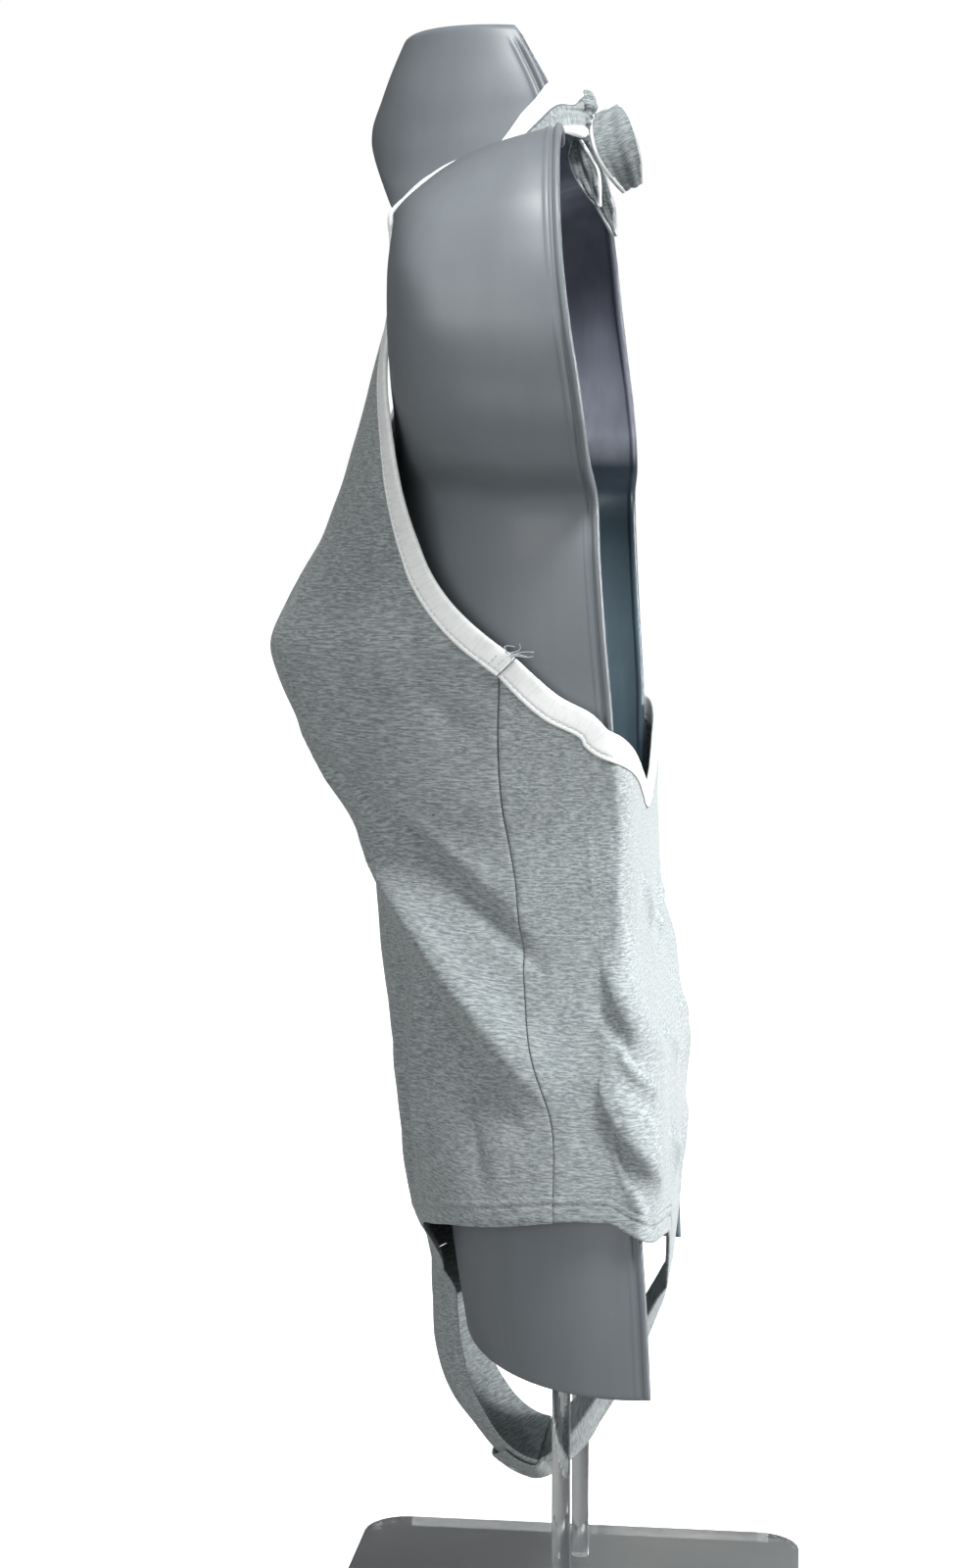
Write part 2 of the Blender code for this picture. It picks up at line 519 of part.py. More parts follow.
def front_half():
    """Angles and heights of the front panel's left half, row by row from the hem.

    Low rows run from the hem's curve to a level line; above it each row is
    level, from the centre front or neckline out to the side seam or armhole.
    """
    steps = np.array(FRONT_STEPS)
    seam = edge_angle(SEAM_COLUMNS, SEAM_ROWS, LEVEL_LINE)
    low_angle = np.tile(steps * seam, (LOW_ROWS, 1))
    share = np.linspace(0, 1, LOW_ROWS)[:, None]
    low_height = hem_height(low_angle) * (1 - share) + LEVEL_LINE * share
    low_angle = steps * edge_angle(SEAM_COLUMNS, SEAM_ROWS, low_height[:, -1:])
    high = np.array(FRONT_HEIGHTS)
    outer = np.where(high <= SEAM_TOP, edge_angle(SEAM_COLUMNS, SEAM_ROWS, high),
                     edge_angle(ARMHOLE_COLUMNS, ARMHOLE_ROWS, high))
    inner = np.where(high > VEE, edge_angle(NECK_COLUMNS, NECK_ROWS, high), 0.0)
    high_angle = inner[:, None] + steps * (outer - inner)[:, None]
    high_height = np.tile(high[:, None], (1, len(steps)))
    return np.concatenate([low_angle, high_angle]), np.concatenate([low_height, high_height])


def make_front_panel():
    """Both halves as one sheet: joined at the centre up to the V, apart above it."""
    angle, height = front_half()
    rows, columns = angle.shape
    seam_rows = height[:, -1] <= SEAM_TOP + 1e-6
    angle[seam_rows, -1] -= SEAM_GAP / 2 / GIRTH_RADIUS
    points = np.concatenate([cloth_surface(a, height).reshape(-1, 3) for a in (angle, -angle)])
    out = np.concatenate([cloth_normal(a, height).reshape(-1, 3) for a in (angle, -angle)])
    left_quads = grid_quads(rows, columns)
    right_quads = [tuple(reversed(quad)) for quad in grid_quads(rows, columns, rows * columns)]
    vee_row = LOW_ROWS + FRONT_HEIGHTS.index(VEE)
    shared = {rows * columns + r * columns: r * columns for r in range(vee_row + 1)}
    quads = left_quads + [tuple(shared.get(v, v) for v in quad) for quad in right_quads]
    used = sorted({v for quad in quads for v in quad})
    order = {old: new for new, old in enumerate(used)}
    quads = [tuple(order[v] for v in quad) for quad in quads]
    points, out = points[used], out[used]
    finish = material("heather_jersey", HEATHER, 0.95)
    solid_between("front_panel", points + out * JERSEY / 2, points - out * JERSEY / 2, quads, finish)


BACK_STEPS = (0.0, 0.035, 0.075, 0.130, 0.200, 0.290, 0.380, 0.460, 0.540, 0.620, 0.700,
              0.780, 0.840, 0.885, 0.943, 1.0)


def back_half():
    """Angles and heights of the back panel's left half, from the hem to the back edge."""
    seam_height = seam_heights()[:, None]
    share = (seam_height - seam_height[0]) / (seam_height[-1] - seam_height[0])
    seam = edge_angle(SEAM_COLUMNS, SEAM_ROWS, seam_height) + SEAM_GAP / 2 / GIRTH_RADIUS
    angle = seam + np.array(BACK_STEPS)[None, :] * (math.pi - seam)
    top = read_table(BACK_EDGE_COLUMNS, BACK_EDGE_ROWS, np.degrees(angle))["height"]
    height = hem_height(angle) * (1 - share) + top * share
    height[:, 0] = seam_height[:, 0]
    return angle, height


def mirrored_grid(angle, height):
    """A left half from the seam to the centre back, and the right half after it."""
    whole_angle = np.concatenate([angle, 2 * math.pi - angle[:, -2::-1]], axis=1)
    whole_height = np.concatenate([height, height[:, -2::-1]], axis=1)
    return whole_angle, whole_height


def wrap(angle):
    """Angles past pi as negative ones, so that both sides' folds are read."""
    return np.where(angle > math.pi, angle - 2 * math.pi, angle)


def make_back_panel():
    angle, height = mirrored_grid(*back_half())
    angle = wrap(angle)
    wall("back_panel", cloth_surface(angle, height), cloth_normal(angle, height), JERSEY,
         material("heather_jersey", HEATHER, 0.95))


# ---------------------------------------------------------------- straps and bindings
def strap_grid():
    """Points across the left strap with its bindings, row by row from the cup's top
    to the knot, and their normals.

    The columns are the inner binding, the jersey and the outer binding, each given
    as an edge and how many tape widths and gaps it lies in from that edge. The first rows lie on the form, the last rows run
    freely to the knot.
    """
    on_form = read_table(STRAP_COLUMNS, STRAP_ROWS, np.linspace(0, STRAP_ROWS[-1][0], 19))
    free = read_table(NAPE_COLUMNS, NAPE_ROWS, np.array([row[0] for row in NAPE_ROWS]))
    lift = on_form["lift"][:, None]

    def resting(place):
        level = on_form["inner_level"] * (1 - place) + on_form["outer_level"] * place
        column = on_form["inner_column"] * (1 - place) + on_form["outer_column"] * place
        return form_surface(column, level) + normal_of(form_surface, column, level) * lift

    width = np.linalg.norm(resting(1.0) - resting(0.0), axis=-1)
    centre = np.stack([free["x"], free["y"], free["z"]], axis=-1)
    across = unit(np.stack([free["across_x"], free["across_y"], free["across_z"]], axis=-1))
    tape, free_tape = (np.minimum(BINDING_WIDTH, w * GATHERED_TAPE) for w in (width, free["width"]))
    grid = []
    for edge, tapes, gaps in ((0, 0, 0), (0, 0.5, 0), (0, 1, 0), (0, 1, 1), (0.5, 0, 0),
                              (1, -1, -1), (1, -1, 0), (1, -0.5, 0), (1, 0, 0)):
        low = resting(edge + (tapes * tape + gaps * STRAP_GAP) / width)
        offset = (0.5 - edge) * free["width"] - tapes * free_tape - gaps * STRAP_GAP
        grid.append(np.concatenate([low, centre + across * offset[:, None]]))
    points = np.stack(grid, axis=1)
    normals = grid_normals(points)
    for pair in (slice(2, 4), slice(5, 7)):
        normals[:, pair] = unit(normals[:, pair].sum(axis=1, keepdims=True))
    return points, normals


def sided(name, side):
    return f"{name}_{'left' if side > 0 else 'right'}"


def mirror_wall(name, middle, normals, thickness, finish, side):
    """A wall of the left half, or its mirror image on the right."""
    if side < 0:
        flip = np.array([-1.0, 1.0, 1.0])
        middle, normals = middle[:, ::-1] * flip, normals[:, ::-1] * flip
    return wall(name, middle, normals, thickness, finish)


def make_strap(side):
    inner = edge_angle(NECK_COLUMNS, NECK_ROWS, PANEL_TOP)
    outer = edge_angle(ARMHOLE_COLUMNS, ARMHOLE_ROWS, PANEL_TOP)
    seam = np.linspace(inner, outer, 3), np.full(3, PANEL_TOP + SEAM_GAP)
    points, normals = strap_grid()
    points = np.concatenate([cloth_surface(*seam)[None], points[:, 3:6]])
    normals = np.concatenate([cloth_normal(*seam)[None], normals[:, 3:6]])
    mirror_wall(sided("halter_strap", side), points, normals, JERSEY,
                material("heather_jersey", HEATHER, 0.95), side)


def binding_beside(angle, height, sign, ends):
    """Three rows of points beside an edge: the seam gap off it, the middle, and the outer edge.

    `ends` gives the direction of the tape's cut ends, by row.
    """
    edge = cloth_surface(angle, height)
    edge_normal = cloth_normal(angle, height)
    outward = unit(np.cross(unit(np.gradient(edge, axis=0)), edge_normal)) * sign
    for row, direction in ends.items():
        outward[row] = direction
    distances = (TAPE_GAP, BINDING_WIDTH / 2, BINDING_WIDTH)
    rows = [move_on_cloth(angle, height, outward, distance) for distance in distances]
    middle = np.stack([cloth_surface(a, h) for a, h in rows], axis=1)
    normals = np.stack([edge_normal] + [cloth_normal(a, h) for a, h in rows[1:]], axis=1)
    return middle, normals


def make_armhole_binding(side):
    """From the side seam up the armhole, then along the strap's outer edge to the knot."""
    heights = np.array([h for h in FRONT_HEIGHTS if h >= SEAM_TOP])
    angles = edge_angle(ARMHOLE_COLUMNS, ARMHOLE_ROWS, heights)
    angles[0] -= SEAM_GAP / 2 / GIRTH_RADIUS
    low, low_normals = binding_beside(angles, heights, 1.0, {0: TAPE_JOIN})
    points, normals = strap_grid()
    mirror_wall(sided("armhole_binding", side), np.concatenate([low, points[:, 6:]]),
                np.concatenate([low_normals, normals[:, 6:]]), TAPE,
                material("white_binding", OFF_WHITE, 0.85), side)


def make_neckline_binding(side):
    """From the V up the neckline, then along the strap's inner edge to the knot."""
    heights = np.array([h for h in FRONT_HEIGHTS if h >= VEE])
    angles = edge_angle(NECK_COLUMNS, NECK_ROWS, heights)
    angles[0] += SEAM_GAP / 2 / GIRTH_RADIUS
    low, low_normals = binding_beside(angles, heights, -1.0, {0: VEE_MITRE})
    points, normals = strap_grid()
    mirror_wall(sided("neckline_binding", side), np.concatenate([low[:, ::-1], points[:, :3]]),
                np.concatenate([low_normals[:, ::-1], normals[:, :3]]), TAPE,
                material("white_binding", OFF_WHITE, 0.85), side)


def make_back_binding():
    """White tape above the back panel's top edge, from seam to seam."""
    angle, height = back_half()
    angle, height = mirrored_grid(angle[-1:], height[-1:])
    middle, normals = binding_beside(wrap(angle[0]), height[0], -1.0, {0: TAPE_JOIN, -1: TAPE_JOIN})
    wall("back_binding", middle.transpose(1, 0, 2), normals.transpose(1, 0, 2), TAPE,
         material("white_binding", OFF_WHITE, 0.85))


# ---------------------------------------------------------------- the bow at the nape
def make_knot():
    """A rounded lump: a superellipsoid in rings from its lowest to its highest point."""
    sides, rings = 24, 12
    tilt = np.linspace(-math.pi / 2, math.pi / 2, rings + 1)[1:-1]
    turn = np.arange(sides) * 2 * math.pi / sides
    tilt, turn = np.meshgrid(tilt, turn, indexing="ij")
    direction = np.stack([np.cos(tilt) * np.cos(turn), np.cos(tilt) * np.sin(turn), np.sin(tilt)], axis=-1)
    size = (np.abs(direction) ** KNOT_FULLNESS).sum(-1, keepdims=True) ** (-1 / KNOT_FULLNESS)
    half = np.array(KNOT_SIZE) / 2
    centre = np.array(KNOT_CENTRE)
    points = (direction * size * half + centre).reshape(-1, 3)
    poles = centre + np.array([[0, 0, -half[2]], [0, 0, half[2]]])
    last = (rings - 2) * sides
    low, high = len(points), len(points) + 1
    faces = []
    for i in range(sides):
        after = (i + 1) % sides
        faces += [(r * sides + i, r * sides + after, (r + 1) * sides + after, (r + 1) * sides + i)
                  for r in range(rings - 2)]
        faces += [(after, i, low), (last + i, last + after, high)]
    thing = add_object("nape_knot", np.concatenate([points, poles]), faces,
                       material("heather_jersey", HEATHER, 0.95))
    thing.data.shade_smooth()


def make_loop():
    row = read_table(LOOP_COLUMNS, LOOP_ROWS, np.linspace(0, LOOP_ROWS[-1][0], 25))
    centre = np.stack([row["x"], row["y"], row["z"]], axis=-1)[:, None, :]
    places = np.linspace(1, -1, 4)[None, :, None]
    points = centre + places * unit(np.array(LOOP_ACROSS)) * row["half_width"][:, None, None]
    wall("tie_loop", points, grid_normals(points), TIE_CLOTH, material("heather_jersey", HEATHER, 0.95))


def make_tail(name, rows):
    row = read_table(TAIL_COLUMNS, rows, np.linspace(0, rows[-1][0], 13))
    centre = np.stack([row["x"], row["y"], row["z"]], axis=-1)[:, None, :]
    turn = np.radians(row["turn"])
    across = np.stack([np.sin(turn), np.cos(turn), 0 * turn], axis=-1)[:, None, :]
    places = np.linspace(-1, 1, 4)[None, :, None]
    points = centre + places * across * row["half_width"][:, None, None]
    wall(name, points, grid_normals(points), TIE_CLOTH, material("heather_jersey", HEATHER, 0.95))


# ---------------------------------------------------------------- crotch strap
def crotch_points(steps, offset):
    """Rows across the crotch strap, cupped so that its edges turn towards the body."""
    row = read_table(CROTCH_COLUMNS, CROTCH_ROWS, steps)
    centre = np.stack([0 * row["y"], row["y"], row["z"]], axis=-1)
    tangent = unit(np.gradient(centre, axis=0))
    outward = np.stack([0 * row["y"], tangent[:, 2], -tangent[:, 1]], axis=-1)
    across = np.linspace(-1, 1, CROTCH_PLACES)
    points = centre[:, None, :] + outward[:, None, :] * offset
    points = points - outward[:, None, :] * (row["cupping"][:, None] * across**2)[..., None]
    points[..., 0] = row["half_width"][:, None] * across
    return points


def hem_row(panel_angle, panel_height):
    """The crotch strap's row beside a panel's hem, from the right side to the left.

    The panel's bottom row is given from the centre outward, as angles and heights.
    """
    turn = np.linspace(-1, 1, CROTCH_PLACES) * CROTCH_SPREAD
    height = np.interp(np.abs(turn), np.abs(panel_angle - panel_angle[0]), panel_height) - SEAM_GAP
    angle = wrap(panel_angle[0] + turn * np.sign(panel_angle[1] - panel_angle[0]))
    return cloth_surface(angle, height)[None], -cloth_normal(angle, height)[None]


def make_crotch_straps():
    """The front strap runs down and ends inside; the back strap's end lies outside it."""
    jersey = material("heather_jersey", HEATHER, 0.95)
    angle, height = front_half()
    top, top_normals = hem_row(angle[0, :3], height[0, :3])
    points = crotch_points(np.linspace(0.4, LAP_END, 15), 0.0)
    wall("crotch_strap_front", np.concatenate([top, points]),
         np.concatenate([top_normals, grid_normals(points)]), JERSEY, jersey)
    steps = np.linspace(LAP_START, CROTCH_ROWS[-1][0] - 0.4, 18)
    offset = (LAP_GAP + JERSEY) * np.clip((LAP_END + 1.0 - steps) / 0.8, 0, 1)
    points = crotch_points(steps, offset[:, None, None])
    angle, height = back_half()
    top, top_normals = hem_row(angle[0, :-4:-1], height[0, :-4:-1])
    wall("crotch_strap_back", np.concatenate([points, top]),
         np.concatenate([grid_normals(points), top_normals]), JERSEY, jersey)


def make_studs():
    """Two press studs in the gap between the crotch strap's two ends."""
    step = np.array([(LAP_START + LAP_END) / 2 - 0.15, (LAP_START + LAP_END) / 2 + 0.15])
    middle = (LAP_GAP + JERSEY) / 2
    ends = crotch_points(step, middle)
    direction = unit(ends[1, 3] - ends[0, 3])
    for side in (1, -1):
        place = crotch_points(step, middle).mean(axis=0)
        x = side * STUD_INSET
        centre = np.array([np.interp(x, place[:, 0], place[:, i]) for i in range(3)])
        beside = np.array([np.interp(x + 0.001, place[:, 0], place[:, i]) for i in range(3)])
        across = unit(beside - centre)
        axis = unit(np.cross(across, direction))
        disc(sided("press_stud", side), centre, axis, across, STUD_RADIUS, LAP_GAP - 2 * STUD_GAP)


# ---------------------------------------------------------------- simple solids
def disc(name, centre, axis, across, radius, height, sides=24):
    """A short cylinder about `axis`."""
    turn = (np.arange(sides) * 2 * math.pi / sides)[:, None]
    ring = centre + radius * (np.cos(turn) * across + np.sin(turn) * np.cross(axis, across))
    prism(name, ring - axis * height / 2, ring + axis * height / 2,
          material("stud_metal", STUD_METAL, 0.35, metallic=1.0))


def prism(name, low, high, finish):
    """A solid between two outlines with the same number of points, seen anticlockwise from `high`."""
    sides = len(low)
    faces = [(i, (i + 1) % sides, sides + (i + 1) % sides, sides + i) for i in range(sides)]
    faces += [tuple(range(sides))[::-1], tuple(range(sides, 2 * sides))]
    thing = add_object(name, np.concatenate([low, high]), faces, finish)
    thing.data.shade_smooth()
    thing.data.set_sharp_from_angle(angle=math.radians(40))


# ---------------------------------------------------------------- stand
def level_outline(outline, height):
    return np.column_stack([outline, np.full(len(outline), height)])


def circle(radius, centre, sides=24):
    turn = np.arange(sides) * 2 * math.pi / sides
    return np.column_stack([np.cos(turn) * radius + centre[0], np.sin(turn) * radius + centre[1]])


def rounded_rectangle(width, depth, corner, steps=6):
    turn = np.linspace(0, math.pi / 2, steps + 1)
    outline = []
    for quarter, (sx, sy) in enumerate(((1, 1), (-1, 1), (-1, -1), (1, -1))):
        angle = turn + quarter * math.pi / 2
        outline.append(np.column_stack([sx * (width / 2 - corner) + corner * np.cos(angle),
                                        sy * (depth / 2 - corner) + corner * np.sin(angle)]))
    return np.concatenate(outline)


def shell_half_width(y, height):
    """Half the distance between the form's inner walls at `y` and `height`, with the fit."""
    inner = form_grid()[0][:len(FORM_LEVELS)]
    inner = inner - grid_normals(inner) * (FORM_WALL + FIT)
    middle = inner.shape[1] // 2
    widths = [np.interp(y, row[middle:-3, 1], row[middle:-3, 0]) for row in inner[:4]]
    return np.interp(height, inner[:4, middle, 2], widths)


def make_stand():
    clear = material("clear_acrylic", CLEAR, 0.08, alpha=0.35)
    width, depth, thickness = BASE_SIZE
    plate = rounded_rectangle(width, depth, BASE_CORNER)
    prism("stand_base", level_outline(plate, 0.0), level_outline(plate, thickness), clear)
    for side in (1, -1):
        ring = circle(ROD_RADIUS, (side * ROD_OFFSET, ROD_Y))
        prism(sided("stand_rod", side), level_outline(ring, thickness + FIT),
              level_outline(ring, BRIDGE_BOTTOM - FIT), clear)
    edges = []
    for height in (BRIDGE_BOTTOM, BRIDGE_TOP):
        front, back = ROD_Y - BRIDGE_DEPTH / 2, ROD_Y + BRIDGE_DEPTH / 2
        near, far = shell_half_width(front, height), shell_half_width(back, height)
        edges.append(np.array([(-near, front, height), (near, front, height),
                               (far, back, height), (-far, back, height)]))
    prism("stand_bridge", edges[0], edges[1], clear)


# ---------------------------------------------------------------- build
def clear_scene():
    for thing in list(bpy.data.objects):
        bpy.data.objects.remove(thing, do_unlink=True)


def main():
    clear_scene()
    make_form()
    make_front_panel()
    make_back_panel()
    make_back_binding()
    for side in (1, -1):
        make_strap(side)
        make_armhole_binding(side)
        make_neckline_binding(side)
    make_knot()
    make_loop()
    make_tail("tie_tail_left", LEFT_TAIL_ROWS)
    make_tail("tie_tail_right", RIGHT_TAIL_ROWS)
    make_crotch_straps()
    make_studs()
    make_stand()


main()
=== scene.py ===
"""Halter bodysuit of grey heather jersey with white binding, on a hollow grey display form.

Laid out as an add-on and run as a script. Every piece is a surface worked out with
numpy: the panels from one function of an angle round the body and a height, the form
from one of a column and a level, and the straps, tapes and tabs from grids of points
that are refined with smooth curves and then given a wall.
"""

import math

import bpy
import numpy as np
from bpy.props import FloatProperty, PointerProperty
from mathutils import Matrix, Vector


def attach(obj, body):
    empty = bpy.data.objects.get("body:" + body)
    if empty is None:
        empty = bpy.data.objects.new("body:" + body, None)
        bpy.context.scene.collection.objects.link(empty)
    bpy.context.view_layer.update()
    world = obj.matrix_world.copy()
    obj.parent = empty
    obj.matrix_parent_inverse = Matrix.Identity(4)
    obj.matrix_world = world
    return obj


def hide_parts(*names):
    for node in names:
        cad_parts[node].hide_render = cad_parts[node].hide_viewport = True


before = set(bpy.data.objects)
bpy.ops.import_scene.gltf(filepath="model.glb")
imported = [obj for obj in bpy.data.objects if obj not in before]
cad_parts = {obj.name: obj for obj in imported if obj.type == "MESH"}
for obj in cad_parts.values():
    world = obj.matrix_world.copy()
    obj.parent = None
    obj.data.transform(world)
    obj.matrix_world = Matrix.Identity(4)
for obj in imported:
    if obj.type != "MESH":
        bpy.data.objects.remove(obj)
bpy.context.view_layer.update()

bl_info = {
    "name": "Halter bodysuit on a display form",
    "version": (1, 0, 0),
    "blender": (4, 5, 0),
    "location": "3D View > Sidebar > Bodysuit",
    "description": "Builds a jersey halter bodysuit, its display form and a plain stage",
    "category": "Object",
}

# ---------------------------------------------------------------- sizes, in metres
MIRROR = np.array([-1.0, 1.0, 1.0])    # turns a point of the left side into its twin on the right
GIRTH_RADIUS = 0.14        # turns a distance round the body into an angle, roughly
SEAM_GAP = 0.0004
TAPE_WIDTH = 0.013
TAPE_GAP = 0.0006
STRAP_GAP = 0.0009
GATHERED_TAPE = (0.38, 0.26, 0.18)  # a tape's largest share of the strap, from the rim to the knot
OUTER_PINCH = 0.62         # how much of the outer tape is rolled under at the rim
PINCHED_STEPS = (3.2, 5.4)
TIP_CUPPING = 0.0125       # how far the front panel's lower tip folds round the strap
TIP_REACH = 0.030
TIP_HEIGHTS = (0.2546, 0.2046)
TAPE_JOIN = (0.0, 0.7, 0.7)
VEE_MITRE = (0.0, 0.0, 1.4)
FORM_WALL = 0.003
KNOT_SIZE = (0.0234, 0.0170, 0.0262)
KNOT_CENTRE = (0.0, 0.0045, 0.8300)
KNOT_FULLNESS = 3.0
LAP_GAP = 0.0022           # between the crotch strap's two layers
CAD_JERSEY = 0.0016        # the solids' wall, whose middle the cloth follows

# ---------------------------------------------------------------- tables
# The garment's sections. Each half of a section is a superellipse about `side_y`.
CLOTH_COLUMNS = ("height", "half_width", "side_y", "front_y", "bust",
                 "front_fullness", "back_y", "back_fullness")
CLOTH_ROWS = (
    (0.190, 0.163, 0.040, -0.0735, 0.0000, 2.2, 0.0560, 5.0),
    (0.205, 0.165, 0.039, -0.0765, 0.0000, 2.2, 0.0570, 5.0),
    (0.230, 0.167, 0.037, -0.0815, 0.0000, 2.2, 0.0590, 5.0),
    (0.265, 0.168, 0.035, -0.0862, 0.0000, 2.2, 0.0600, 5.0),
    (0.300, 0.164, 0.032, -0.0905, 0.0000, 2.2, 0.0600, 5.0),
    (0.332, 0.157, 0.030, -0.0945, 0.0000, 2.2, 0.0580, 5.5),
    (0.360, 0.149, 0.028, -0.0985, 0.0000, 2.2, 0.0505, 6.5),
    (0.385, 0.143, 0.026, -0.1019, 0.0005, 2.2, 0.0462, 7.0),
    (0.410, 0.138, 0.024, -0.1032, 0.0020, 2.2, 0.0440, 7.0),
    (0.435, 0.135, 0.022, -0.1030, 0.0060, 2.2, 0.0430, 7.0),
    (0.455, 0.133, 0.020, -0.1035, 0.0165, 2.2, 0.0425, 7.0),
    (0.475, 0.134, 0.019, -0.1085, 0.0250, 2.3, 0.0426, 7.0),
    (0.495, 0.136, 0.018, -0.1140, 0.0300, 2.3, 0.0412, 7.0),
    (0.515, 0.139, 0.016, -0.1200, 0.0335, 2.3, 0.0395, 7.0),
    (0.535, 0.142, 0.014, -0.1260, 0.0360, 2.3, 0.0375, 6.0),
    (0.550, 0.146, 0.011, -0.1285, 0.0362, 2.3, 0.0360, 5.0),
    (0.573, 0.153, 0.006, -0.1245, 0.0305, 2.2, 0.0350, 4.0),
    (0.605, 0.168, 0.000, -0.1175, 0.0170, 2.1, 0.0350, 3.0),
    (0.650, 0.195, -0.008, -0.1075, 0.0075, 2.0, 0.0350, 3.0),
    (0.690, 0.205, -0.010, -0.0995, 0.0020, 2.1, 0.0350, 3.0),
    (0.720, 0.205, -0.010, -0.0912, 0.0000, 2.2, 0.0350, 3.0),
)
BUST_X = 0.078
BUST_SPREAD = 0.048

# Folds, from one (angle, height) to another: `rise` is the height of the ridge, or
# of a trough if negative, `reach` its half width.
# Columns: angle_a, height_a, angle_b, height_b, rise, reach.
FOLD_ROWS = (
    (18.0, 0.452, 84.0, 0.316, 0.0050, 0.016),
    (16.0, 0.420, 66.0, 0.315, -0.0050, 0.018),
    (-22.0, 0.450, -80.0, 0.335, 0.0045, 0.017),
    (-16.0, 0.415, -62.0, 0.325, -0.0040, 0.018),
    (95.0, 0.396, 160.0, 0.335, 0.0045, 0.014),
    (88.0, 0.352, 150.0, 0.285, 0.0045, 0.013),
    (-97.0, 0.400, -165.0, 0.345, 0.0040, 0.015),
    (-90.0, 0.345, -150.0, 0.290, 0.0045, 0.014),
)

# Creases in the same frame. `bow` bends the line sideways, and `above` and `below`
# are the half widths on its two sides, so that one side can be steep.
# Columns: angle_a, height_a, angle_b, height_b, bow, rise, above, below.
CREASE_ROWS = (
    (23.0, 0.464, 81.5, 0.315, 0.003, 0.0090, 0.0150, 0.0058),
    (25.0, 0.440, 74.0, 0.302, 0.002, -0.0066, 0.0050, 0.0170),
    (28.0, 0.503, 82.0, 0.382, -0.003, -0.0070, 0.0080, 0.0045),
    (45.0, 0.480, 72.0, 0.418, -0.002, 0.0018, 0.0080, 0.0050),
    (84.0, 0.381, 142.0, 0.341, -0.002, -0.0045, 0.0140, 0.0090),
    (88.0, 0.368, 120.0, 0.348, 0.000, 0.0020, 0.0040, 0.0060),
    (108.0, 0.353, 140.0, 0.324, 0.002, 0.0034, 0.0060, 0.0040),
    (82.0, 0.344, 141.0, 0.275, 0.005, 0.0046, 0.0080, 0.0060),
    (86.0, 0.331, 118.0, 0.286, 0.003, -0.0034, 0.0060, 0.0100),
    (96.0, 0.312, 128.0, 0.268, -0.002, 0.0026, 0.0060, 0.0045),
    (39.5, 0.410, 34.5, 0.262, 0.002, 0.0032, 0.0070, 0.0050),
    (31.0, 0.396, 27.0, 0.246, -0.002, -0.0034, 0.0080, 0.0080),
    (24.0, 0.360, 22.0, 0.240, 0.002, 0.0024, 0.0050, 0.0070),
    (50.0, 0.346, 60.0, 0.266, 0.003, -0.0024, 0.0080, 0.0070),
    (14.0, 0.520, 20.0, 0.452, 0.002, -0.0024, 0.0080, 0.0080),
    (24.0, 0.514, 34.0, 0.470, 0.001, 0.0016, 0.0060, 0.0060),
    (62.0, 0.520, 50.0, 0.575, 0.003, 0.0020, 0.0080, 0.0080),
    (70.0, 0.500, 58.0, 0.540, -0.002, -0.0016, 0.0070, 0.0070),
    (112.0, 0.484, 126.0, 0.440, 0.003, -0.0010, 0.0140, 0.0140),
    (97.0, 0.462, 92.0, 0.425, -0.002, 0.0008, 0.0120, 0.0120),
    (150.0, 0.430, 172.0, 0.392, 0.003, 0.0036, 0.0090, 0.0050),
    (148.0, 0.352, 176.0, 0.322, 0.003, 0.0042, 0.0100, 0.0050),
    (150.0, 0.300, 174.0, 0.262, 0.002, 0.0034, 0.0100, 0.0060),
    (-150.0, 0.412, -175.0, 0.376, -0.003, 0.0038, 0.0050, 0.0100),
    (-146.0, 0.338, -174.0, 0.305, -0.003, 0.0034, 0.0100, 0.0050),
    (-152.0, 0.282, -172.0, 0.250, -0.002, 0.0026, 0.0080, 0.0060),
    (-26.0, 0.455, -79.0, 0.322, -0.004, 0.0070, 0.0140, 0.0046),
    (-24.0, 0.432, -70.0, 0.318, -0.002, -0.0048, 0.0050, 0.0150),
    (-33.0, 0.492, -82.0, 0.392, 0.003, -0.0056, 0.0110, 0.0060),
    (-85.0, 0.386, -138.0, 0.352, 0.003, -0.0042, 0.0130, 0.0090),
    (-84.0, 0.338, -136.0, 0.283, -0.004, 0.0044, 0.0080, 0.0060),
    (-92.0, 0.318, -120.0, 0.290, -0.002, -0.0030, 0.0060, 0.0100),
    (-36.0, 0.400, -32.0, 0.256, -0.002, 0.0018, 0.0060, 0.0070),
    (-27.0, 0.380, -25.0, 0.250, 0.002, -0.0019, 0.0080, 0.0080),
    (-50.0, 0.342, -56.0, 0.272, -0.002, 0.0015, 0.0070, 0.0070),
    (-16.0, 0.516, -22.0, 0.458, -0.002, -0.0020, 0.0080, 0.0080),
    (-112.0, 0.480, -126.0, 0.436, -0.002, -0.0022, 0.0090, 0.0090),
    (-60.0, 0.524, -49.0, 0.572, -0.003, 0.0018, 0.0080, 0.0080),
)

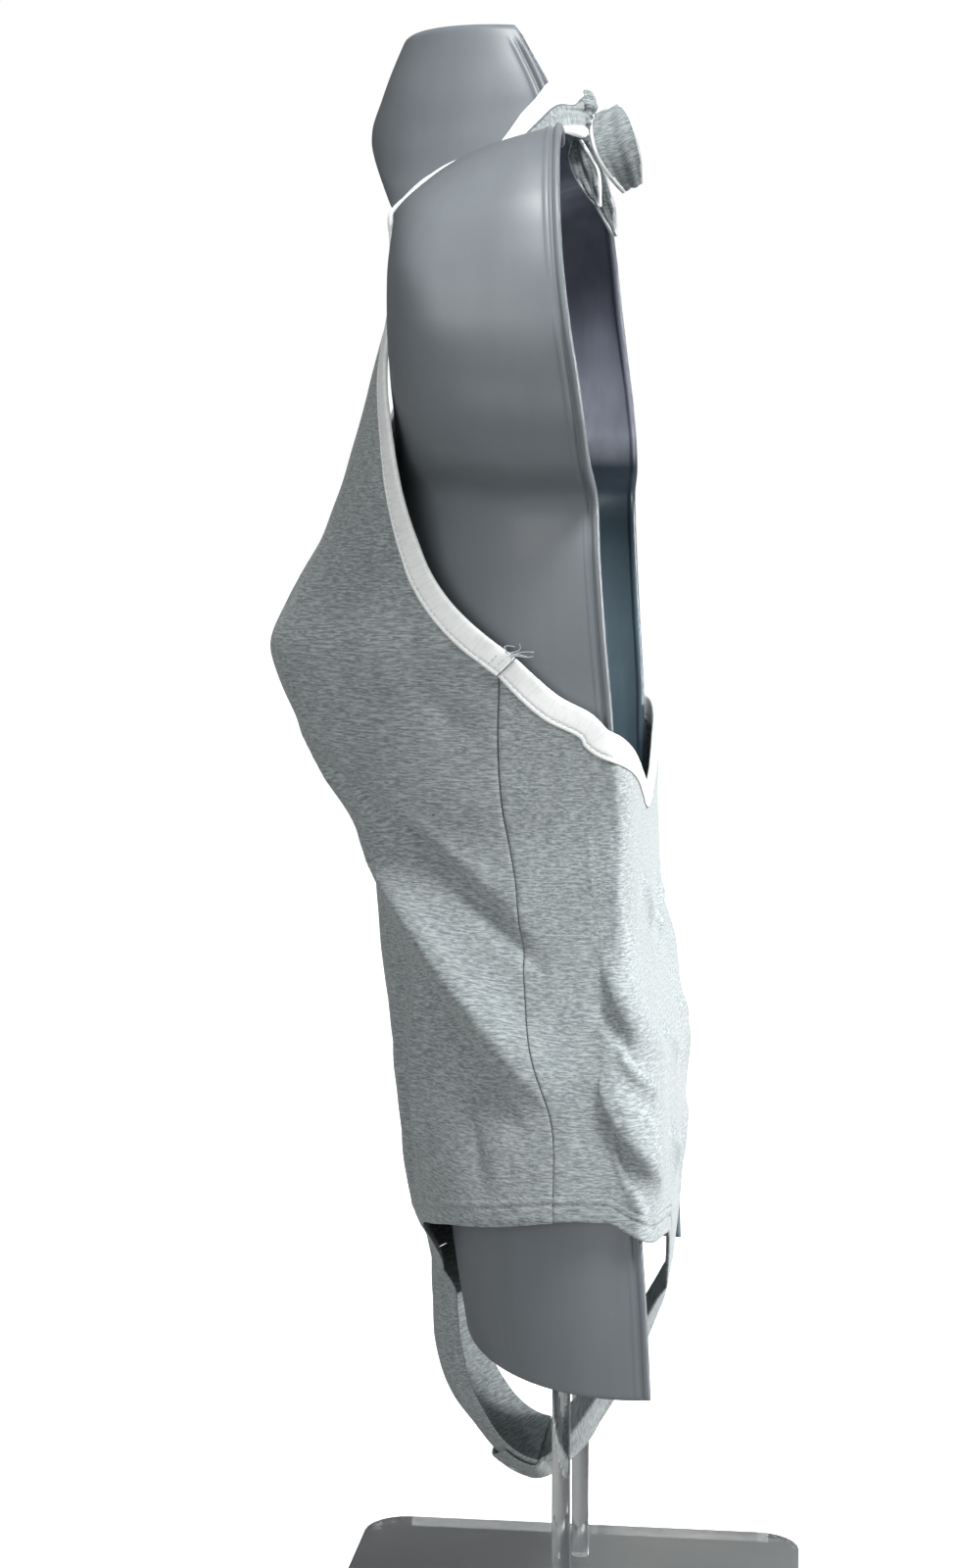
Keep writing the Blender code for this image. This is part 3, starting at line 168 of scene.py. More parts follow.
# Panel edges: the side seam, the armhole, the neckline, the leg hem and the back edge.
SEAM_COLUMNS = ("height", "angle")
SEAM_ROWS = ((0.18, 76.0), (0.27, 77.0), (0.32, 78.0), (0.35, 74.5), (0.39, 73.5),
             (0.44, 73.0), (0.49, 73.5), (0.54, 76.5))
ARMHOLE_COLUMNS = ("height", "angle")
ARMHOLE_ROWS = ((0.540, 76.5), (0.558, 68.5), (0.577, 62.0), (0.601, 55.3),
                (0.630, 48.2), (0.660, 41.8), (0.690, 34.8), (0.720, 27.5))
NECK_COLUMNS = ("height", "angle")
NECK_ROWS = ((0.615, 0.0), (0.640, 7.5), (0.665, 13.5), (0.690, 18.0), (0.720, 20.9))
HEM_COLUMNS = ("angle", "height")
HEM_ROWS = ((0.0, 0.2050), (6.0, 0.2050), (11.86, 0.2050), (14.5, 0.2150), (18.5, 0.2280),
            (26.0, 0.2415), (40.0, 0.2525), (60.0, 0.2620), (77.0, 0.2690),
            (92.0, 0.2700), (104.0, 0.2670), (130.0, 0.2580), (148.0, 0.2480),
            (159.0, 0.2350), (164.5, 0.2170), (168.1, 0.2000), (174.0, 0.2000), (180.0, 0.2000))
BACK_EDGE_COLUMNS = ("angle", "height")
BACK_EDGE_ROWS = ((76.5, 0.5400), (79.0, 0.5312), (82.0, 0.5225), (86.0, 0.5148), (92.0, 0.5083),
                  (100.0, 0.5035), (115.0, 0.4990), (132.0, 0.4940), (145.0, 0.4850),
                  (158.0, 0.4725), (170.0, 0.4630), (180.0, 0.4600))

# The form's sections. `front_z` and `side_z` differ over the shoulders, `tilt` is how
# fast a section rises there towards the back, `dip` the hollow beside the neck.
FORM_COLUMNS = ("level", "front_z", "front_y", "side_z", "half_width", "side_y",
                "bust", "fullness", "rim_x", "rim_y", "tilt", "dip")
FORM_ROWS = (
    (0.176, 0.176, -0.0550, 0.176, 0.156, 0.042, 0.000, 2.0, 0.154, 0.0560, 0.00, 0.000),
    (0.220, 0.220, -0.0620, 0.220, 0.159, 0.040, 0.000, 2.0, 0.157, 0.0540, 0.00, 0.000),
    (0.270, 0.270, -0.0680, 0.270, 0.159, 0.037, 0.000, 2.0, 0.157, 0.0505, 0.00, 0.000),
    (0.320, 0.320, -0.0740, 0.320, 0.152, 0.033, 0.000, 2.0, 0.150, 0.0462, 0.00, 0.000),
    (0.370, 0.370, -0.0800, 0.370, 0.139, 0.028, 0.000, 2.1, 0.137, 0.0405, 0.00, 0.000),
    (0.420, 0.420, -0.0860, 0.420, 0.127, 0.023, 0.000, 2.1, 0.125, 0.0370, 0.00, 0.000),
    (0.460, 0.460, -0.0910, 0.460, 0.123, 0.019, 0.002, 2.1, 0.121, 0.0348, 0.00, 0.000),
    (0.490, 0.490, -0.0970, 0.490, 0.125, 0.017, 0.012, 2.1, 0.123, 0.0336, 0.00, 0.000),
    (0.515, 0.515, -0.1020, 0.515, 0.128, 0.016, 0.032, 2.1, 0.126, 0.0330, 0.00, 0.000),
    (0.535, 0.535, -0.1060, 0.535, 0.132, 0.014, 0.044, 2.2, 0.130, 0.0316, 0.00, 0.000),
    (0.550, 0.550, -0.1090, 0.550, 0.135, 0.012, 0.045, 2.2, 0.133, 0.0304, 0.00, 0.000),
    (0.570, 0.570, -0.1090, 0.570, 0.138, 0.010, 0.036, 2.2, 0.136, 0.0290, 0.00, 0.000),
    (0.600, 0.600, -0.1030, 0.600, 0.141, 0.008, 0.016, 2.2, 0.139, 0.0272, 0.00, 0.000),
    (0.620, 0.622, -0.0990, 0.624, 0.142, 0.006, 0.006, 2.2, 0.140, 0.0262, 0.00, 0.000),
    (0.630, 0.636, -0.0960, 0.631, 0.150, 0.002, 0.003, 2.2, 0.148, 0.0256, 0.00, 0.000),
    (0.640, 0.650, -0.0920, 0.640, 0.172, -0.008, 0.001, 2.2, 0.171, 0.0250, 0.00, 0.000),
    (0.655, 0.666, -0.0880, 0.656, 0.187, -0.013, 0.000, 2.5, 0.185, 0.0240, 0.00, 0.000),
    (0.680, 0.690, -0.0838, 0.682, 0.1985, -0.015, 0.000, 3.5, 0.1955, 0.0212, 0.00, 0.000),
    (0.710, 0.714, -0.0800, 0.712, 0.206, -0.016, 0.000, 4.9, 0.202, 0.0170, 0.02, 0.000),
    (0.735, 0.735, -0.0782, 0.742, 0.204, -0.017, 0.000, 5.7, 0.198, 0.0135, 0.05, 0.000),
    (0.755, 0.753, -0.0786, 0.770, 0.192, -0.018, 0.000, 5.0, 0.184, 0.0110, 0.12, 0.002),
    (0.770, 0.769, -0.0814, 0.789, 0.172, -0.019, 0.000, 4.2, 0.162, 0.0090, 0.22, 0.006),
    (0.782, 0.781, -0.0853, 0.799, 0.144, -0.021, 0.000, 3.4, 0.134, 0.0070, 0.28, 0.012),
    (0.792, 0.791, -0.0910, 0.802, 0.115, -0.024, 0.000, 2.7, 0.106, 0.0050, 0.31, 0.017),
    (0.801, 0.802, -0.0995, 0.799, 0.088, -0.028, 0.000, 2.2, 0.080, 0.0030, 0.31, 0.017),
    (0.810, 0.812, -0.1065, 0.801, 0.070, -0.033, 0.000, 2.0, 0.063, 0.0000, 0.31, 0.010),
    (0.822, 0.823, -0.1078, 0.817, 0.059, -0.037, 0.000, 2.0, 0.054, -0.0035, 0.20, 0.004),
    (0.838, 0.839, -0.1025, 0.836, 0.053, -0.040, 0.000, 2.0, 0.049, -0.0085, 0.06, 0.000),
    (0.856, 0.856, -0.0960, 0.856, 0.046, -0.043, 0.000, 2.0, 0.041, -0.0175, 0.00, 0.000),
    (0.8725, 0.8725, -0.0885, 0.8725, 0.041, -0.046, 0.000, 2.0, 0.037, -0.0265, 0.00, 0.000),
)
FORM_BUST_X = 0.076
FORM_BUST_SPREAD = 0.040
HOLLOW = 6.75              # scales s(1-s)^2, the hollow's shape, to a depth of 1

# The rolled rim, by distance from its edge: how far it stands out and in.
RIM_COLUMNS = ("distance", "out", "inward")
RIM_ROWS = (
    (0.0000, -0.0014, -0.0014),
    (0.0002, -0.0004, -0.0004),
    (0.0007, 0.0006, 0.0006),
    (0.0014, 0.0012, 0.0012),
    (0.0022, 0.0014, 0.0014),
    (0.0030, 0.0012, 0.0012),
    (0.0037, 0.0005, 0.0006),
    (0.0042, -0.0004, 0.0001),
    (0.0047, -0.0006, 0.0000),
    (0.0052, -0.0003, 0.0000),
    (0.0057, 0.0005, 0.0000),
    (0.0068, 0.0006, 0.0000),
    (0.0079, 0.0005, 0.0000),
    (0.0085, 0.0001, 0.0000),
    (0.0092, 0.0000, 0.0000),
    (0.0110, 0.0000, 0.0000),
)

# The halter strap on the form, from the cup's top to the rim, and on to the knot.
STRAP_COLUMNS = ("step", "inner_level", "inner_column", "outer_level", "outer_column", "lift")
STRAP_ROWS = (
    (0.0, 0.742, 0.185, 0.742, 0.3145, 0.0042),
    (1.0, 0.765, 0.205, 0.762, 0.335, 0.0034),
    (2.0, 0.788, 0.300, 0.780, 0.430, 0.0024),
    (3.0, 0.8015, 0.500, 0.792, 0.620, 0.0022),
    (4.0, 0.8090, 0.800, 0.797, 0.860, 0.0024),
    (5.0, 0.8170, 1.250, 0.8000, 1.250, 0.0026),
    (6.0, 0.838, 2.000, 0.804, 2.000, 0.0042),
)
NAPE_COLUMNS = ("step", "x", "y", "z", "across_x", "across_y", "across_z", "width")
NAPE_ROWS = (
    (7.0, 0.0500, 0.0050, 0.8265, 0.05, -0.30, 0.95, 0.030),
    (8.0, 0.0310, 0.0065, 0.8290, 0.00, -0.20, 0.97, 0.0275),
    (9.0, 0.0123, 0.0070, 0.8310, 0.00, -0.15, 0.98, 0.0270),
)

# The bow's loop and tails: middle line, half width and, for a tail, its turn.
LOOP_COLUMNS = ("step", "x", "y", "z", "half_width")
LOOP_HALF = (
    (0.0, 0.0045, 0.0185, 0.8325, 0.0072),
    (1.0, 0.0105, 0.0212, 0.8240, 0.0104),
    (2.0, 0.0130, 0.0248, 0.8130, 0.0110),
    (3.0, 0.0100, 0.0290, 0.8020, 0.0090),
    (4.0, 0.0000, 0.0325, 0.7925, 0.0056),
)
LOOP_ROWS = LOOP_HALF + tuple(
    (8.0 - step, -x, y, z, half_width) for step, x, y, z, half_width in LOOP_HALF[-2::-1])
LOOP_ACROSS = (0.0, -0.90, -0.43)
TAIL_COLUMNS = ("step", "x", "y", "z", "half_width", "turn")
LEFT_TAIL_ROWS = (
    (0.0, 0.0045, 0.0030, 0.8166, 0.0040, 40.0),
    (1.0, 0.0080, 0.0045, 0.8090, 0.0070, 30.0),
    (2.0, 0.0100, 0.0080, 0.8000, 0.0080, 20.0),
    (3.0, 0.0110, 0.0120, 0.7890, 0.0055, 25.0),
    (4.0, 0.0120, 0.0154, 0.7805, 0.0010, 30.0),
)
RIGHT_TAIL_ROWS = (
    (0.0, -0.0045, 0.0060, 0.8166, 0.0040, -30.0),
    (1.0, -0.0055, 0.0090, 0.8080, 0.0060, -20.0),
    (2.0, -0.0060, 0.0130, 0.7955, 0.0065, -10.0),
    (3.0, -0.0060, 0.0185, 0.7800, 0.0050, -15.0),
    (4.0, -0.0080, 0.0228, 0.7670, 0.0010, -20.0),
)

# The crotch strap's middle line, half width and cupping.
CROTCH_COLUMNS = ("step", "y", "z", "half_width", "cupping")
CROTCH_ROWS = (
    (0.0, -0.0765, 0.2046, 0.033, 0.0165),
    (1.0, -0.0758, 0.1780, 0.034, 0.0180),
    (2.0, -0.0742, 0.1570, 0.034, 0.0190),
    (3.0, -0.0687, 0.1370, 0.035, 0.0185),
    (4.0, -0.0590, 0.1190, 0.036, 0.0175),
    (5.0, -0.0450, 0.1010, 0.037, 0.0160),
    (6.0, -0.0300, 0.0880, 0.037, 0.0170),
    (7.0, -0.0140, 0.0830, 0.037, 0.0175),
    (8.0, 0.0000, 0.0880, 0.037, 0.0170),
    (9.0, 0.0120, 0.1010, 0.036, 0.0155),
    (10.0, 0.0220, 0.1190, 0.035, 0.0125),
    (11.0, 0.0330, 0.1390, 0.034, 0.0110),
    (12.0, 0.0440, 0.1610, 0.034, 0.0090),
    (13.0, 0.0530, 0.1830, 0.033, 0.0060),
    (14.0, 0.0565, 0.1996, 0.033, 0.0010),
)
CROTCH_PLACES = 7
CROTCH_SPREAD = math.radians(11.6)
LAP_START = 5.35           # where the back strap's end lies under the front strap
LAP_END = 6.75             # where the front strap's end lies on the back strap


# ---------------------------------------------------------------- curves and surfaces
def hermite(t, start, end, rise_start, rise_end):
    """Cubic from `start` to `end` as t goes from 0 to 1, with its rises at both ends."""
    return ((2 * t**3 - 3 * t**2 + 1) * start + (t**3 - 2 * t**2 + t) * rise_start
            + (3 * t**2 - 2 * t**3) * end + (t**3 - t**2) * rise_end)


def read_table(columns, rows, at):
    """Every column's smooth value where the first column is `at`: cubic Hermite pieces
    between the rows, with each row's slope taken from its neighbours."""
    data = np.array(rows, dtype=float)
    key = data[:, 0]
    slopes = np.gradient(data, key, axis=0)
    at = np.clip(np.asarray(at, dtype=float), key[0], key[-1])
    low = np.clip(np.searchsorted(key, at, side="right") - 1, 0, len(key) - 2)
    span = (key[low + 1] - key[low])[..., None]
    t = (at - key[low])[..., None] / span
    rise_start, rise_end = slopes[low] * span, slopes[low + 1] * span
    values = hermite(t, data[low], data[low + 1], rise_start, rise_end)
    return {name: values[..., i] for i, name in enumerate(columns)}


def middle_line(row):
    """The x, y and z of a table's rows as points."""
    return np.stack([row["x"], row["y"], row["z"]], axis=-1)


def unit(vectors):
    """Vectors scaled to length 1 along the last axis."""
    return vectors / np.linalg.norm(vectors, axis=-1, keepdims=True)


def smooth_step(value, low, high):
    """0 below `low`, 1 above `high`, and 3t^2 - 2t^3 between."""
    t = np.clip((value - low) / (high - low), 0, 1)
    return t * t * (3 - 2 * t)


def fade_at_ends(travelled):
    """0 at both ends of a line and 1 between, rising over CREASE_FADE of its length."""
    return smooth_step(travelled, 0, CREASE_FADE) * smooth_step(1 - travelled, 0, CREASE_FADE)


def bowed(bow, travelled):
    """Sideways bend of a line: a parabola that reaches `bow` halfway along."""
    return bow * 4 * travelled * (1 - travelled)


def bell(value, reach):
    """exp(-(value / reach)^2)."""
    return np.exp(-(value / reach) ** 2)


def superellipse(angle, fullness):
    """Radius at `angle` of the unit curve |sin|^n + |cos|^n = 1 for fullness n."""
    total = np.abs(np.sin(angle)) ** fullness + np.abs(np.cos(angle)) ** fullness
    return total ** (-1.0 / fullness)


def bust_curve(x, centre, spread):
    """Two soft bumps, one on each side of the centre front."""
    return bell(x - centre, spread) + bell(x + centre, spread)


def normal_of(surface, first, second):
    """Outward unit normal of a surface of two values, from small steps in both."""
    step = 1e-3
    across = surface(first + step, second) - surface(first - step, second)
    along = surface(first, second + step) - surface(first, second - step)
    return unit(np.cross(across, along))


def grid_normals(points):
    """Unit normals of a grid of points, from its neighbours in both directions."""
    return unit(np.cross(np.gradient(points, axis=1), np.gradient(points, axis=0)))


def edge_angle(columns, rows, height):
    """Angle in radians of a seam or edge at `height`."""
    return np.radians(read_table(columns, rows, height)["angle"])


def hem_height(angle):
    """Height of the leg hem at `angle`, the same on both sides."""
    return read_table(HEM_COLUMNS, HEM_ROWS, np.degrees(np.abs(angle)))["height"]


SEAM_TOP = ARMHOLE_ROWS[0][0]
VEE = NECK_ROWS[0][0]
PANEL_TOP = ARMHOLE_ROWS[-1][0]
LEVEL_LINE = 0.345         # the panel's rows are level from here up
CREASE_ROUND = 0.0018      # radius of a crease's rounded peak
CREASE_FADE = 0.3          # share of a crease over which it fades at each end
SMOOTH_RISE = 3.5          # a fold fades in over 1 / 3.5 of its length


def beside_line(across, along, start, end):
    """How far along a line places lie (0 to 1), and how far to its left in metres."""
    first = np.array(start)
    run = np.array(end) - first
    length = np.linalg.norm(run)
    run = run / length
    from_start = np.stack([across, along], axis=-1) - first
    return from_start @ run / length, from_start @ np.array([-run[1], run[0]])


def along_and_aside(angle, height, start, end):
    """The same on the cloth, for a line whose ends are given as degrees and heights."""
    return beside_line(angle * GIRTH_RADIUS, height, (math.radians(start[0]) * GIRTH_RADIUS, start[1]),
                       (math.radians(end[0]) * GIRTH_RADIUS, end[1]))


def fold_height(angle, height):
    """Sum of the large folds: each a bell across its line, fading out at both ends."""
    total = np.zeros_like(angle)
    for angle_a, height_a, angle_b, height_b, rise, reach in FOLD_ROWS:
        travelled, aside = along_and_aside(angle, height, (angle_a, height_a), (angle_b, height_b))
        ends = np.clip(travelled * SMOOTH_RISE, 0, 1) * np.clip((1 - travelled) * SMOOTH_RISE, 0, 1)
        total = total + rise * ends * ends * (3 - 2 * ends) * bell(aside, reach)
    return total


def crease_height(angle, height):
    """Sum of the creases: each is a bell above its bowed line, and falls off below it as an
    exponential of the distance, whose peak is rounded."""
    total = np.zeros_like(angle)
    for angle_a, height_a, angle_b, height_b, bow, rise, above, below in CREASE_ROWS:
        travelled, aside = along_and_aside(angle, height, (angle_a, height_a), (angle_b, height_b))
        aside = aside - bowed(bow, travelled)
        side = 1.0 if angle_b > angle_a else -1.0
        fall = np.exp((CREASE_ROUND - np.hypot(aside, CREASE_ROUND)) / below)
        ends = fade_at_ends(travelled)
        total = total + rise * ends * np.where(aside * side > 0, bell(aside, above), fall)
    return total


def smooth_section(angle, height):
    """The garment without its folds: superellipse halves, a bump over each bust, and the
    front's lower tip bent back beside its middle."""
    row = read_table(CLOTH_COLUMNS, CLOTH_ROWS, height)
    front = np.cos(angle) >= 0
    radius = superellipse(angle, np.where(front, row["front_fullness"], row["back_fullness"]))
    depth = np.where(front, row["side_y"] - row["front_y"], row["back_y"] - row["side_y"])
    x = row["half_width"] * radius * np.sin(angle)
    y = row["side_y"] - depth * radius * np.cos(angle)
    frontness = np.clip(np.cos(angle) * 2.0, 0, 1)
    y = y - row["bust"] * bust_curve(x, BUST_X, BUST_SPREAD) * frontness
    low = smooth_step(TIP_HEIGHTS[0] - height, 0, TIP_HEIGHTS[0] - TIP_HEIGHTS[1])
    y = y + TIP_CUPPING * (1 - bell(x, TIP_REACH)) * low * frontness
    return np.stack([x, y, height + 0.0 * x], axis=-1)


def cloth_surface(angle, height):
    """Middle of the cloth at `angle` and `height`: the section moved out by its folds."""
    normal = normal_of(smooth_section, angle, height)
    return smooth_section(angle, height) + normal * fold_height(angle, height)[..., None]


def cloth_normal(angle, height):
    """Outward unit normal of the cloth's middle."""
    return normal_of(cloth_surface, angle, height)


def move_on_cloth(angle, height, direction, distance):
    """(angle, height) moved `distance` over the cloth along `direction`, in four steps
    that solve for the direction's share of the two tangents."""
    step = 1e-3
    for _ in range(4):
        by_angle = (cloth_surface(angle + step, height) - cloth_surface(angle - step, height)) / (2 * step)
        by_height = (cloth_surface(angle, height + step) - cloth_surface(angle, height - step)) / (2 * step)
        aa = (by_angle * by_angle).sum(-1)
        ah = (by_angle * by_height).sum(-1)
        hh = (by_height * by_height).sum(-1)
        da = (by_angle * direction).sum(-1)
        dh = (by_height * direction).sum(-1)
        det = aa * hh - ah * ah
        angle = angle + (da * hh - dh * ah) / det * distance / 4
        height = height + (dh * aa - da * ah) / det * distance / 4
    return angle, height


def form_surface(column, level):
    """Outer face of the form. `column` is 0 at the centre front, 1 at the widest point
    of the left side and 2 at the left rim; negative on the right."""
    row = read_table(FORM_COLUMNS, FORM_ROWS, level)
    reach = np.abs(column)
    angle = np.clip(reach, 0, 1) * math.pi / 2
    back = np.clip(reach - 1, 0, 1)
    radius = superellipse(angle, row["fullness"])
    x = row["half_width"] * radius * np.sin(angle)
    x = x - (row["half_width"] - row["rim_x"]) * back**2
    y = row["side_y"] - (row["side_y"] - row["front_y"]) * radius * np.cos(angle)
    y = y + (row["rim_y"] - row["side_y"]) * back
    frontness = np.clip(np.cos(angle) * 2.0, 0, 1)
    y = y - row["bust"] * bust_curve(x, FORM_BUST_X, FORM_BUST_SPREAD) * frontness
    sideways = np.sin(angle) ** 2
    z = row["front_z"] + (row["side_z"] - row["front_z"]) * sideways
    z = z + row["tilt"] * (y - row["side_y"]) * sideways
    z = z - row["dip"] * HOLLOW * sideways * (1 - sideways) ** 2
    return np.stack([np.sign(column) * x + 0.0 * z, y, z], axis=-1)


def refine(grid, rows, columns):
    """A grid of points made denser along both axes with cubic Hermite pieces. `rows` and
    `columns` are how many, or their places counted in the old ones."""
    for axis, wanted in ((0, rows), (1, columns)):
        last = grid.shape[axis] - 1
        slopes = np.gradient(grid, axis=axis)
        at = np.linspace(0, last, wanted) if np.isscalar(wanted) else wanted
        low = np.clip(at.astype(int), 0, last - 1)
        t = (at - low).reshape((-1, 1, 1) if axis == 0 else (1, -1, 1))
        a, b = np.take(grid, low, axis), np.take(grid, low + 1, axis)
        c, d = np.take(slopes, low, axis), np.take(slopes, low + 1, axis)
        grid = hermite(t, a, b, c, d)
    return grid


def rounding(distance, radius):
    """Share of a wall's thickness left at `distance` from its rounded edge."""
    return np.sqrt(np.clip(1 - (1 - np.clip(distance / radius, 0, 1)) ** 2, 0.04, 1))


def path_lengths(points, axis):
    """Distance travelled along one axis of a grid of points, starting at 0."""
    steps = np.linalg.norm(np.diff(points, axis=axis), axis=-1)
    start = np.zeros_like(np.take(steps, [0], axis))
    return np.concatenate([start, np.cumsum(steps, axis=axis)], axis=axis)


# ---------------------------------------------------------------- meshes
def index_quads(index):
    """Quads of a grid of point numbers."""
    return np.stack([index[:-1, :-1], index[:-1, 1:], index[1:, 1:], index[1:, :-1]],
                    axis=-1).reshape(-1, 4)


def grid_quads(rows, columns, closed=False):
    """Quads of a grid of points stored row after row; `closed` joins the last column to the first."""
    index = np.arange(rows * columns).reshape(rows, columns)
    return index_quads(np.concatenate([index, index[:, :1]], axis=1) if closed else index)


def two_sided(quads, count):
    """Outer quads, the same quads turned over for the inner face, and a strip on each open edge."""
    edges = np.concatenate([quads[:, [i, (i + 1) % 4]] for i in range(4)])
    code = edges[:, 0] * (2 * count) + edges[:, 1]
    back = edges[:, 1] * (2 * count) + edges[:, 0]
    a, b = edges[~np.isin(code, back)].T
    strip = np.stack([b, a, a + count, b + count], axis=1)
    return np.concatenate([quads, quads[:, ::-1] + count, strip])


def add_piece(name, points, faces, finishes, replaces=(), uv=None, finish_of_face=None):
    """A smooth mesh object at the origin that rides on the root body."""
    mesh = bpy.data.meshes.new(name)
    mesh.from_pydata(points.reshape(-1, 3).tolist(), [], faces.tolist())
    for finish in finishes:
        mesh.materials.append(finish)
    if finish_of_face is not None:
        mesh.polygons.foreach_set("material_index", finish_of_face.astype(np.int32))
    if uv is not None:
        layer = mesh.uv_layers.new(name="cloth")
        corner = np.empty(len(mesh.loops), dtype=np.int32)
        mesh.loops.foreach_get("vertex_index", corner)
        layer.data.foreach_set("uv", uv.reshape(-1, 2)[corner].astype(np.float32).ravel())
    mesh.shade_smooth()
    thing = bpy.data.objects.new(name, mesh)
    bpy.context.scene.collection.objects.link(thing)
    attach(thing, "root")
    if replaces:
        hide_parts(*replaces)
    return thing


def add_wall(name, middle, normals, out, inward, finishes, replaces=(), uv=None,
             finish_of_quad=None, inner_finish=0):
    """A grid of points made into a closed wall that reaches `out` and `inward` of it.
    `finish_of_quad` gives each quad's material, and `inner_finish` the inner face's."""
    rows, columns = middle.shape[:2]
    points = np.concatenate([(middle + normals * out[..., None]).reshape(-1, 3),
                             (middle - normals * inward[..., None]).reshape(-1, 3)])
    faces = two_sided(grid_quads(rows, columns), rows * columns)
    if uv is None:
        uv = np.stack([path_lengths(middle, 1), path_lengths(middle, 0)], axis=-1)
    uv = np.tile(uv.reshape(-1, 2), (2, 1))
    kinds = None
    if inner_finish:
        quads = (rows - 1) * (columns - 1)
        kinds = np.zeros(len(faces))
        kinds[quads:2 * quads] = inner_finish
    if finish_of_quad is not None:
        kinds = np.zeros(len(faces))
        kinds[:2 * finish_of_quad.size] = np.tile(finish_of_quad.ravel(), 2)
        strip = faces[2 * finish_of_quad.size:, 0] % (rows * columns)
        at_row, at_column = np.divmod(strip, columns)
        kinds[2 * finish_of_quad.size:] = finish_of_quad[np.minimum(at_row, rows - 2),
                                                         np.minimum(at_column, columns - 2)]
    return add_piece(name, points, faces, finishes, replaces, uv, kinds)


def mirrored(points):
    """A grid of the left half mirrored to the right, with its columns turned round."""
    return points[:, ::-1] * MIRROR


def sided(name, side):
    """A name with the side it is on: 1 is left and -1 is right."""
    return f"{name}_{'left' if side > 0 else 'right'}"


def face_outward(points, faces):
    """The faces, all turned over if the volume that they enclose comes out negative."""
    a, b, c, d = (points[faces[:, i]] for i in range(4))
    volume = (np.cross(b - a, c - a) * a).sum() + (np.cross(c - a, d - a) * a).sum()
    return faces if volume > 0 else faces[:, ::-1]


def flat_size(middle):
    """A cloth's longest row, longest column and area, measured over its middle surface."""
    across = path_lengths(middle, 1)[:, -1].max()
    along = path_lengths(middle, 0)[-1].max()
    first = middle[1:, 1:] - middle[:-1, :-1]
    second = middle[1:, :-1] - middle[:-1, 1:]
    area = np.linalg.norm(np.cross(first, second), axis=-1).sum() / 2
    return (float(across), float(along)), float(area)


def tube_faces(rows, ring):
    """Quads of a closed tube, with a cap on each end made of quads across the ring."""
    side = grid_quads(rows, ring, closed=True)
    i = np.arange(ring // 2 - 1)
    cap = np.stack([i, i + 1, ring - 2 - i, ring - 1 - i], axis=1)
    return np.concatenate([side, cap, cap[:, ::-1] + (rows - 1) * ring])


# ---------------------------------------------------------------- display form
FORM_TOP = FORM_ROWS[-1][0]
FORM_BOTTOM = FORM_ROWS[0][0]
NECK_RADIUS = 0.045
NECK_ROUND = 0.004


def form_grid():
    """Outer face, row by row from the bottom edge: columns run evenly round the front and
    then close in on the rim at the distances of RIM_ROWS. The last rows round the neck's
    top over by a quarter circle and shrink to one point."""
    turn = np.linspace(0, math.pi / 2, 8)
    level = np.concatenate([FORM_BOTTOM + 0.0015 * np.array([0, 0.08, 0.3, 0.6, 1.0]),
                            np.linspace(0.180, 0.620, 96), np.linspace(0.6225, 0.8660, 106),
                            FORM_TOP - NECK_ROUND * (1 - np.sin(turn))])
    rim = np.array([row[0] for row in RIM_ROWS])
    reach = np.linalg.norm(form_surface(2.0, level) - form_surface(1.0, level), axis=-1)
    share = np.concatenate([[0, 0.25, 0.5, 0.75], np.ones(len(rim))])
    distance = (1 - share) * reach[:, None] + share * np.concatenate([np.full(4, rim[-1]), rim[::-1]])
    half = np.concatenate([np.tile(np.linspace(0, 1, 46)[:-1], (len(level), 1)),
                           2 - distance / reach[:, None]], axis=1)
    column = np.concatenate([-half[:, :0:-1], half], axis=1)
    points = form_surface(column, level[:, None])
    to_rim = (2 - np.abs(column)) * reach[:, None]
    centre = (points[:, :1] + points[:, -1:]) / 2
    inset = np.concatenate([np.zeros(len(level) - len(turn)), NECK_ROUND * (1 - np.cos(turn))])
    points = centre + (points - centre) * (1 - inset / NECK_RADIUS)[:, None, None]
    scales = np.linspace(1, 0, 9)[1:, None, None]
    cap = centre[-1] + (points[-1] - centre[-1]) * scales
    to_rim = np.concatenate([to_rim, np.tile(to_rim[-1], (len(cap), 1))])
    return np.concatenate([points, cap]), to_rim, level


def build_form(wall):
    """The hollow half shell: its wall lies inside form_grid, and swells into a double
    rolled rim towards the open back. The rim fades out below the neck's flat top."""
    outer, to_rim, level = form_grid()
    sides = len(level)
    normals = np.zeros_like(outer)
    normals[:sides] = grid_normals(outer[:sides])
    normals[sides:] = (0.0, 0.0, 1.0)
    middle = outer - normals * wall / 2
    rim = read_table(RIM_COLUMNS, RIM_ROWS, to_rim)
    fade = np.concatenate([1 - smooth_step(level, FORM_TOP - 0.016, FORM_TOP - 0.006),
                           np.zeros(len(outer) - sides)])[:, None]
    plain = wall / 2 * (rounding(to_rim, 0.0015) - 1)
    lower = np.concatenate([rounding(level - FORM_BOTTOM, 0.0015), np.ones(len(outer) - sides)])[:, None]
    out = (wall / 2 + fade * rim["out"] + (1 - fade) * plain) * lower
    inward = (wall / 2 + fade * rim["inward"] + (1 - fade) * plain) * lower
    return add_wall("display_form", middle, normals, out, inward,
                    [form_plastic("form_plastic_outside", 0.0), form_plastic("form_plastic_inside", 1.0)],
                    ["dress_form"], inner_finish=1)


